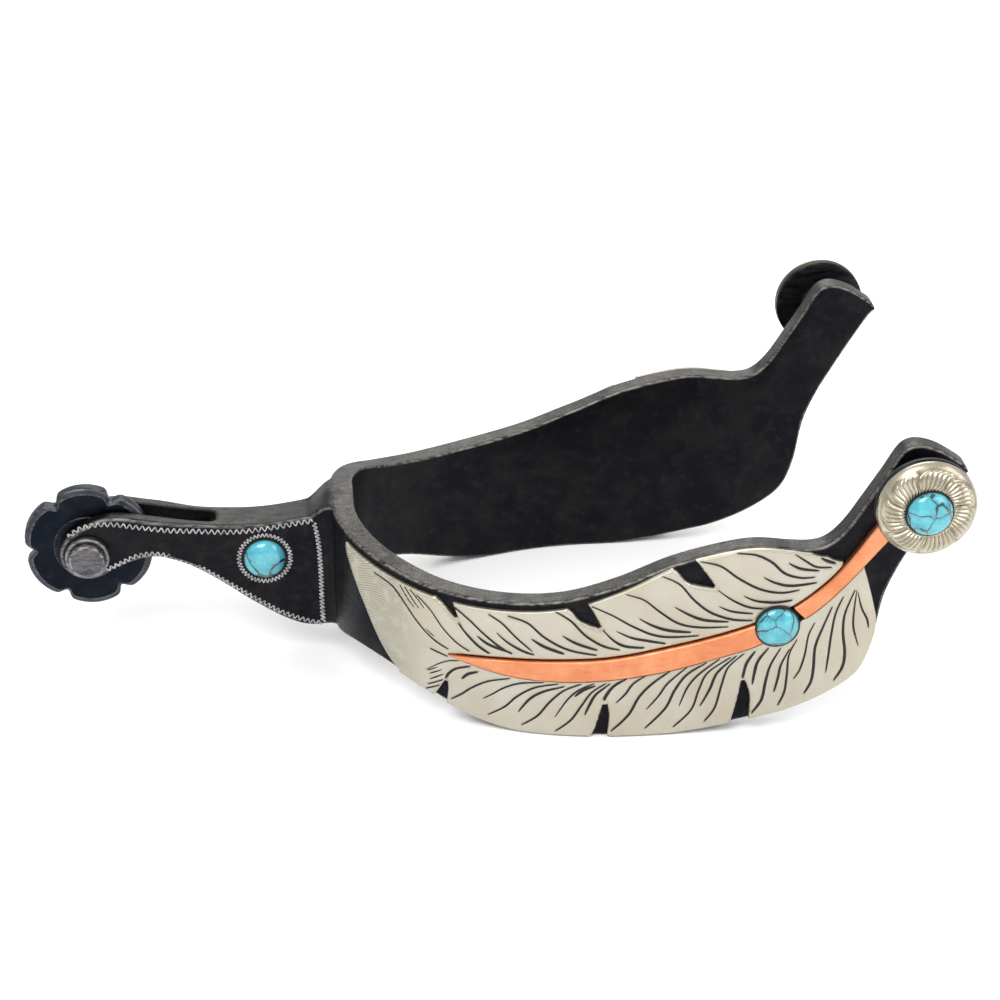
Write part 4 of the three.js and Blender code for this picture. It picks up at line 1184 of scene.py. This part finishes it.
def snap_to_notches(s, z):
    """Move points near a notch's outline onto it. Returns the distance to the notches, negative inside.
    Points inside are caught from farther off than those outside, which leaves no teeth along a cut."""
    flat = np.stack([s.ravel(), z.ravel()], 1)
    gap = np.full(len(flat), 9.0)
    for notch in NOTCHES:
        loop = notch_outline(notch)
        low, high = loop.min(0) - 1.5, loop.max(0) + 1.5
        close = np.flatnonzero(((flat > low) & (flat < high)).all(1))
        nearest, distance, inside = nearest_on_loop(flat[close], loop)
        snap = distance < np.where(inside, 0.98, 0.68) * GRID_STEP
        flat[close[snap]] = nearest[snap]
        signed = np.where(snap, 0, np.where(inside, -distance, distance))
        gap[close] = np.minimum(gap[close], signed)
    return flat[:, 0].reshape(s.shape), flat[:, 1].reshape(s.shape), gap.reshape(s.shape)


def groove_depth(s, z):
    """Depth of the engraving at each point: a bell curve of the distance to the nearest cut."""
    flat = np.stack([s.ravel(), z.ravel()], 1)
    depth = np.zeros(len(flat))
    for line, width in CUTS:
        low, high = line.min(0) - 1, line.max(0) + 1
        close = np.flatnonzero(((flat > low) & (flat < high)).all(1))
        distance = np.linalg.norm(flat[close][:, None] - line[None], axis=2).min(1)
        bell = np.exp(-((distance / (0.45 * width + 0.1)) ** 2))
        depth[close] = np.maximum(depth[close], GROOVE_DEPTH * bell)
    return depth.reshape(s.shape)


def build_feather():
    """Both feathers. The bevel follows a quarter circle of the distance to the nearest edge, the vanes
    swell by half a sine wave, and fan counts the hatched lines, which are parabolas."""
    s, z, u, upper = feather_grid()
    s, z, notch_gap = snap_to_notches(s, z)
    height = np.abs(silver_top(s) - quill_top(s)) * upper + np.abs(quill_low(s) - silver_low(s)) * ~upper
    to_outer = (1 - u) * height
    to_inner = np.where(s > QUILL_START, u * height, 9.0)
    to_left = s - left_edge(z)
    to_right = np.where(upper, (VANE_END - s) * 0.7, right_edge(z) - s)
    edge = np.minimum.reduce([to_outer, to_inner, np.maximum(notch_gap, 0), to_left, to_right])
    share = np.clip(edge / BEVEL_WIDTH, 0, 1)
    drop = BEVEL_DROP * (1 - np.sqrt(1 - (1 - share) ** 2))
    swell = 0.1 * np.sin(np.pi * np.clip(u, 0, 1)) * smoothstep(edge, 0, 1.5)
    t = SHEET_TO - 0.1 - drop + swell - groove_depth(s, z) * smoothstep(share, 0, 0.7)
    fan = (z + HATCH_CURVE * (s - HATCH_FROM) ** 2 - HATCH_SLOPE * s) / HATCH_PITCH
    tip = 1 - smoothstep(s + 0.3 * np.maximum(z, 0), 24, 33)
    kept = notch_gap > -1e-6
    cell = kept[:-1, :-1] & kept[1:, :-1] & kept[1:, 1:] & kept[:-1, 1:]
    middle_s = (s[:-1, :-1] + s[1:, 1:]) / 2
    seam = ~upper[:-1] & upper[1:]
    cell &= ~(seam & (middle_s > QUILL_START))
    cell &= ~(upper[:-1] & upper[1:] & (s[1:, 1:] > VANE_END))
    for name, side in SIDES:
        marks = np.stack([fan, tip], -1)
        front = np.concatenate([bend(side * s, z, t), marks], -1)
        back = np.concatenate([bend(side * s, z, SHEET_FROM), marks], -1)
        points, faces = shell(front, back, cell)
        make_piece(
            f"silver_feather_{name}", points, faces, SILVER, [f"feather_{name}"],
            ("fan", "tip"), corner=50,
        )


build_feather()

# %% [markdown]
# ## Black in the cuts
# Engraving is rubbed with black so that it reads from across a room. The black fills each groove
# almost to the brim. It is a thin bar whose width swells from a point and tapers away, as a graver's
# cut does: the tool goes in shallow, digs, and lifts out. Colour on the silver's own mesh would be only
# as sharp as its grid, and a separate bar is sharp from any distance.

# %% Filled cuts
BLACK_BELOW = 0.06                              # how far the black stays under the silver's face


def cut_bars(side, level):
    """A three-sided bar for each cut, bent with the band, its top just under the silver's face."""
    bars = []
    for line, width in CUTS:
        q = np.linspace(0, 1, len(line))
        swell = np.clip(np.sin(np.pi * q**1.15), 0, 1) ** 0.55 * (0.75 + 0.25 * q) + 0.08
        run = np.gradient(line, axis=0)
        normal = np.stack([-run[:, 1], run[:, 0]], 1) / np.linalg.norm(run, axis=1)[:, None]
        reach = normal * (swell * width / 2)[:, None]
        one, two = line + reach, line - reach
        bars.append(close_bar(np.stack([
            bend(side * one[:, 0], one[:, 1], level),
            bend(side * two[:, 0], two[:, 1], level),
            bend(side * line[:, 0], line[:, 1], level - 0.25),
        ], 1)))
    return join_shells(bars)


for name, side in SIDES:
    points, faces = cut_bars(side, SHEET_TO - BLACK_BELOW)
    make_piece(f"black_cuts_{name}", points, faces, OXIDE, corner=80)

# %% [markdown]
# ## Quill
# The quill is a tapering strip of copper, its edges filed to a bevel. Two curves bound it, and the
# strip is the set of straight lines that join points the same share along each. It is cut in two by
# the hole for its stone, and its end runs on up the bare arm to tuck in under the button. A curve with
# a taper would need its own way round the heel, and this strip is bent like all the rest.

# %% Quill
QUILL_FACE, QUILL_BEVEL, QUILL_CROWN = 5.94, 0.22, 0.05
# name, the shares of the length where it starts and ends, stations along it
QUILL_PARTS = (("blade", 0.0, 0.716, 260), ("stem", 0.795, 1.0, 90))


def quill_points(share, width_share):
    """Flat point of the quill at a share of its length and a share of its width."""
    s_top = QUILL_START + (QUILL_TOP[-1][0] - QUILL_START) * share
    s_low = QUILL_START + (QUILL_LOW[-1][0] - QUILL_START) * share
    top, low = np.stack([s_top, quill_top(s_top)], -1), np.stack([s_low, quill_low(s_low)], -1)
    return low + (top - low) * width_share[..., None]


def build_quill():
    """The four strips of copper, the rows of each drawn together at its bevelled edges."""
    rows = np.array([0, 0.02, 0.05, 0.09, 0.3, 0.5, 0.7, 0.91, 0.95, 0.98, 1.0])
    for part, first, last, count in QUILL_PARTS:
        share, across_rows = np.meshgrid(np.linspace(first, last, count), rows, indexing="ij")
        flat = quill_points(share, across_rows)
        width = np.linalg.norm(quill_points(share, 1 + 0 * share) - quill_points(share, 0 * share), axis=-1)
        edge = np.minimum(across_rows, 1 - across_rows) * width
        bevel = np.clip(edge / QUILL_BEVEL, 0, 1)
        crown = QUILL_CROWN * np.sin(np.pi * across_rows) * np.clip(width / 4, 0, 1)
        t = QUILL_FACE - 0.3 * (1 - bevel) ** 1.4 + crown
        for name, side in SIDES:
            front = bend(side * flat[..., 0], flat[..., 1], t)
            back = bend(side * flat[..., 0], flat[..., 1], SHEET_FROM)
            points, faces = shell(front, back)
            make_piece(
                f"copper_{part}_{name}", points, faces, COPPER, [f"quill_{part}_{name}"], corner=40,
            )


build_quill()

# %% [markdown]
# ## Stones
# A cabochon is a stone ground to a smooth dome, with a straight girdle where it sits in its seat. The
# dome is an ellipse turned about its axis. A thin black ring runs round it, at the stone's edge. Half
# of a squashed sphere is the usual short cut, but it has no girdle.

# %% Stones
STONE_RADIUS, BUTTON_STONE_RADIUS = 4.0, 4.2
QUILL_STONE_X, QUILL_STONE_Z = 95.6 - ARM_SHIFT, 1.0
BUTTON_X, BUTTON_Z, BUTTON_RADIUS = 101.6, 28.1, 9.25
CONCHO_FROM, CONCHO_TO = 12.1, 15.0             # from the inside of the arm
SEAT_LINE_WIDTH = 0.24


def dome_profile(radius, base, girdle, rise, count=22):
    """Half profile of a cabochon: flat bottom, short straight side, quarter ellipse to the axis."""
    turn = np.linspace(0, math.pi / 2, count)
    dome = np.stack([radius * np.cos(turn), base + girdle + rise * np.sin(turn)], 1)
    dome[-1, 0] = 0
    return np.concatenate([[(0, base), (radius - 0.2, base), (radius, base + 0.2)], dome])


def collar_profile(radius, low, high, wide):
    """Section of a narrow flat-topped ring."""
    outer = radius + wide
    return [
        (radius, low), (outer, low), (outer, high - 0.05), (outer - 0.05, high), (radius, high),
        (radius, low),
    ]


def build_stone(label, name, side, x, z, radius, base, girdle, rise, seat_top):
    """A stone and the black line round it, both from the height base out from the middle plane."""
    points, faces = turn_profile(dome_profile(radius, base, girdle, rise), side, x, z, 96)
    make_piece(
        f"{label}_cabochon_{name}", points, faces, STONE_LOOKS[label],
        [f"{label}_stone_{name}"], corner=60,
    )
    collar = collar_profile(radius + 0.01, base, seat_top, SEAT_LINE_WIDTH)
    points, faces = turn_profile(collar, side, x, z, 96)
    make_piece(f"{label}_seat_line_{name}", points, faces, OXIDE, corner=40)


for name, side in SIDES:
    build_stone(
        "shank", name, side, *SHANK_STONE, STONE_RADIUS,
        base=2.6, girdle=1.9, rise=1.8, seat_top=NECK_HALF + 0.1,
    )
    build_stone(
        "quill", name, side, QUILL_STONE_X, QUILL_STONE_Z, STONE_RADIUS,
        base=ARM_INSIDE + 4.7, girdle=1.1, rise=1.8, seat_top=ARM_INSIDE + 6.05,
    )
    build_stone(
        "button", name, side, BUTTON_X, BUTTON_Z, BUTTON_STONE_RADIUS,
        base=ARM_INSIDE + 14.1, girdle=0.9, rise=1.9, seat_top=ARM_INSIDE + CONCHO_TO + 0.05,
    )

# %% [markdown]
# ## Buttons
# The spur strap slips over a button: a post welded to the arm, a disc on it, and a cast silver cap
# with petals round a stone. The cap is a dome on a polar grid. Its height is the dome's, plus a
# puff for each petal that is full along its middle and sinks to nothing at its sides, plus fine flutes
# that fade towards the rim. The lines between petals swing as they go out, which sets them turning. It
# could be sculpted, but then seven petals would have to be kept alike by hand.

# %% Buttons
PETALS, PETAL_TURN, PETAL_SWING = 7, math.radians(12), 0.5
FLUTES, FLUTE_HEIGHT = 7, 0.12                  # flutes in each petal
SEAT_RADIUS, SEAT_HEIGHT = 4.45, 1.7
DISC_RADIUS, DISC_ROUND = 9.25, 0.4


def concho_surface(radius, angle):
    """Height above the cap's base, and how deep in a groove the point lies from 0 to 1. With out running
    from 0 at the seat to 1 at the rim, the dome rises by sqrt(1 - out^2.3)."""
    out = np.clip((radius - SEAT_RADIUS) / (BUTTON_RADIUS - SEAT_RADIUS), 0, 1)
    dome = 0.75 + 2.1 * np.sqrt(np.clip(1 - out**2.3, 0, 1))
    swing = PETAL_SWING * out**3
    petal = ((angle - PETAL_TURN + swing) * PETALS / (2 * math.pi)) % 1.0
    side = np.abs(2 * petal - 1)
    scallop = 0.86 - 0.24 * side**4
    inside = smoothstep(scallop - out, 0.0, 0.12)
    puff = 0.32 * (1 - side**6) * inside * smoothstep(out, -0.1, 0.25)
    flute = np.cos(2 * math.pi * (petal + 0.06 * np.sin(5 * out)) * FLUTES)
    fade = smoothstep(out, 0.0, 0.12) * (1 - smoothstep(out, 0.66, 0.86))
    flutes = FLUTE_HEIGHT * flute * inside * (1 - side**8) * fade
    between_petals = side**10 * inside * 1.2
    round_petals = np.exp(-(((scallop + 0.02 - out) / 0.05) ** 2)) * 0.8
    in_flutes = 0.75 * np.clip(-flute, 0, 1) * inside * (1 - smoothstep(out, 0.6, 0.88))
    low = np.maximum(np.clip(between_petals + round_petals, 0, 1), in_flutes)
    return dome + puff + flutes - 0.28, low * (out < 0.97)


def build_cap(name, side):
    """The silver cap: a flat seat, the petals, a rounded rim and a flat back, ring by ring."""
    rim = BUTTON_RADIUS - np.array([0.35, 0.22, 0.12, 0.05, 0.01, 0])
    rings = np.concatenate([np.linspace(SEAT_RADIUS, BUTTON_RADIUS - 0.5, 44), rim])
    angle = np.linspace(0, 2 * math.pi, 576, endpoint=False)[None, :]
    height, low = concho_surface(rings[:, None], angle)
    height = np.maximum(height, 0.55)
    seat = np.array([(0.0, SEAT_HEIGHT), (SEAT_RADIUS - 0.05, SEAT_HEIGHT)])
    back = np.array([(BUTTON_RADIUS, 0.3), (BUTTON_RADIUS - 0.25, 0.0), (0.0, 0.0)])
    radius = np.concatenate([seat[:, 0], rings, back[:, 0]])[:, None]
    tall = np.concatenate([seat[:, 1:] + 0 * angle, height, back[:, 1:] + 0 * angle])
    # The three back rings get 1.3: painted shade over the back of the cap, which the finish turns dark
    # brown.
    patina_and_back_shade = np.concatenate([np.zeros((2, angle.size)), low, np.full((3, angle.size), 1.3)])
    points = np.stack([
        BUTTON_X + radius * np.cos(angle), side * (ARM_INSIDE + CONCHO_FROM + tall),
        BUTTON_Z + radius * np.sin(angle), patina_and_back_shade,
    ], -1).reshape(-1, 4)
    make_piece(
        f"button_cap_{name}", points, ring_faces(len(radius), angle.size), CONCHO_SILVER,
        [f"button_concho_{name}"], ("low",), corner=50,
    )


def build_plate_and_stem(name, side):
    """The disc behind the cap, its rim rounded on both sides, and the post with a fillet at each end.
    Heights are from the inside of the arm."""
    rim = DISC_RADIUS - DISC_ROUND
    disc = [
        (0, 10.6), *arc((rim, 11.0), DISC_ROUND, -90, 0, 5), *arc((rim, 11.6), DISC_ROUND, 0, 90, 5),
        (8.4, 12.08), (0, 12.08),
    ]
    # A faint lightening of the disc's rounded rim: worn steel, and a painted highlight.
    profile = marked([(r, ARM_INSIDE + h) for r, h in disc], 0.0, [0, *[0.1] * 10, 0, 0])
    points, faces = turn_profile(profile, side, BUTTON_X, BUTTON_Z, 96)
    make_piece(
        f"button_plate_{name}", points, faces, BLUED, [f"button_disc_{name}"], STEEL_MARKS,
    )
    post = [
        (0, 4.2), (5.0, 4.2), (5.0, 4.4), *arc((4.6, 5.6), 1.2, 270, 180, 8)[1:], (3.4, 9.6),
        *arc((4.4, 9.6), 1.0, 180, 90, 6), (4.4, 10.62), (0, 10.62),
    ]
    profile = marked([(r, ARM_INSIDE + h) for r, h in post], 0.1, 0.0)
    points, faces = turn_profile(profile, side, BUTTON_X, BUTTON_Z, 64)
    make_piece(
        f"button_stem_{name}", points, faces, BLUED, [f"button_post_{name}"], STEEL_MARKS,
    )


for name, side in SIDES:
    build_cap(name, side)
    build_plate_and_stem(name, side)

# %% [markdown]
# ## Floor
# The spur stands on a pale table, one big square that reaches past every view. It is staged, which
# means that it is there to be looked at and isn't part of the spur. A plane added by an operator would
# be the same square; made from its four corners it is right at once.

# %% Floor
TABLE_REACH = 3000


def build_floor():
    """A square TABLE_REACH millimetres out to each side, at the height that the spur stands on."""
    mesh = bpy.data.meshes.new("table_top")
    corners = np.array([(-1, -1, 0), (1, -1, 0), (1, 1, 0), (-1, 1, 0)]) * TABLE_REACH + (0, 0, FLOOR_Z)
    mesh.from_pydata((corners * MM).tolist(), [], [[0, 1, 2, 3]])
    material, tree, shader = new_finish("pale_table", Roughness=0.9, Specular_IOR_Level=0.1)
    colour = mix(tree, noise(tree, 60), tone(250, 250, 250), tone(253, 253, 253))
    tree.links.new(colour, shader.inputs["Base Color"])
    mesh.materials.append(material)
    table = bpy.data.objects.new("table_top", mesh)
    bpy.context.scene.collection.objects.link(table)


build_floor()
print(f"table top at z {FLOOR_Z:.1f}")

# %% [markdown]
# ## Light
# A tent is a bright, even sky, which the metals need, because a metal shows nothing but what it mirrors.
# Three soft lamps add a direction: the big one is above and in front, one fills the side of the button
# and one draws the back edges. A sun would be simpler, but its hard glints would hide the engraving.

# %% Light


def soft_lamp(name, where, aim, size, power):
    """A square lamp of that size in metres, turned to face a point."""
    light = bpy.data.lights.new(name, "AREA")
    light.shape, light.size, light.energy = "SQUARE", size, power
    lamp = bpy.data.objects.new(name, light)
    lamp.location = where
    lamp.rotation_mode = "QUATERNION"
    lamp.rotation_quaternion = (Vector(aim) - Vector(where)).to_track_quat("-Z", "Y")
    bpy.context.scene.collection.objects.link(lamp)


def tent(strength):
    """A sky that is a little greyer at the horizon than overhead."""
    world = bpy.data.worlds.new("light_tent")
    world.use_nodes = True
    tree = world.node_tree
    up = add(tree, "SeparateXYZ", Vector=add(tree, "TexCoord").outputs["Generated"]).outputs["Z"]
    colour = mix(tree, ramp(tree, up, -0.1, 0.9), tone(214, 216, 220), tone(255, 255, 255))
    tree.links.new(colour, tree.nodes["Background"].inputs["Color"])
    tree.nodes["Background"].inputs["Strength"].default_value = strength
    bpy.context.scene.world = world


tent(1.0)
soft_lamp("key", (-0.25, -0.55, 0.75), (0.03, 0, 0), 0.5, 5.0)
soft_lamp("fill", (0.65, -0.45, 0.45), (0.04, 0, 0), 0.5, 2.2)
soft_lamp("back", (0.1, 0.7, 0.6), (0.03, 0, 0), 0.6, 3.0)
bpy.context.scene.view_settings.view_transform = "Standard"
print("lamps:", ", ".join(light.name for light in bpy.data.lights))

# %% [markdown]
# ## Camera
# The camera is a long lens a little above the spur, which keeps sizes true: with a short lens the near
# arm would look far bigger than the other. It is placed by the point that it looks at, a direction and
# a distance, which are easier to reason about than a place and three angles.

# %% Camera


def build_camera(aim, azimuth, elevation, distance, lens):
    """Camera at that distance from the point it looks at, in the direction given in degrees: azimuth 0
    looks along +Y, and elevation is above the horizon."""
    turn, lift = math.radians(azimuth), math.radians(elevation)
    back = Vector((math.sin(turn) * math.cos(lift), -math.cos(turn) * math.cos(lift), math.sin(lift)))
    data = bpy.data.cameras.new("camera")
    data.lens, data.sensor_width, data.clip_start, data.clip_end = lens, 36.0, 0.01, 20.0
    camera = bpy.data.objects.new("camera", data)
    camera.location = Vector(aim) * MM + back * distance * MM
    camera.rotation_mode = "QUATERNION"
    camera.rotation_quaternion = (-back).to_track_quat("-Z", "Y")
    bpy.context.scene.collection.objects.link(camera)
    bpy.context.scene.camera = camera


build_camera((29.0, 0.0, 8.28), azimuth=-5.19, elevation=26.83, distance=507.6, lens=92.3)
print("camera at", [round(v, 3) for v in bpy.context.scene.camera.location])
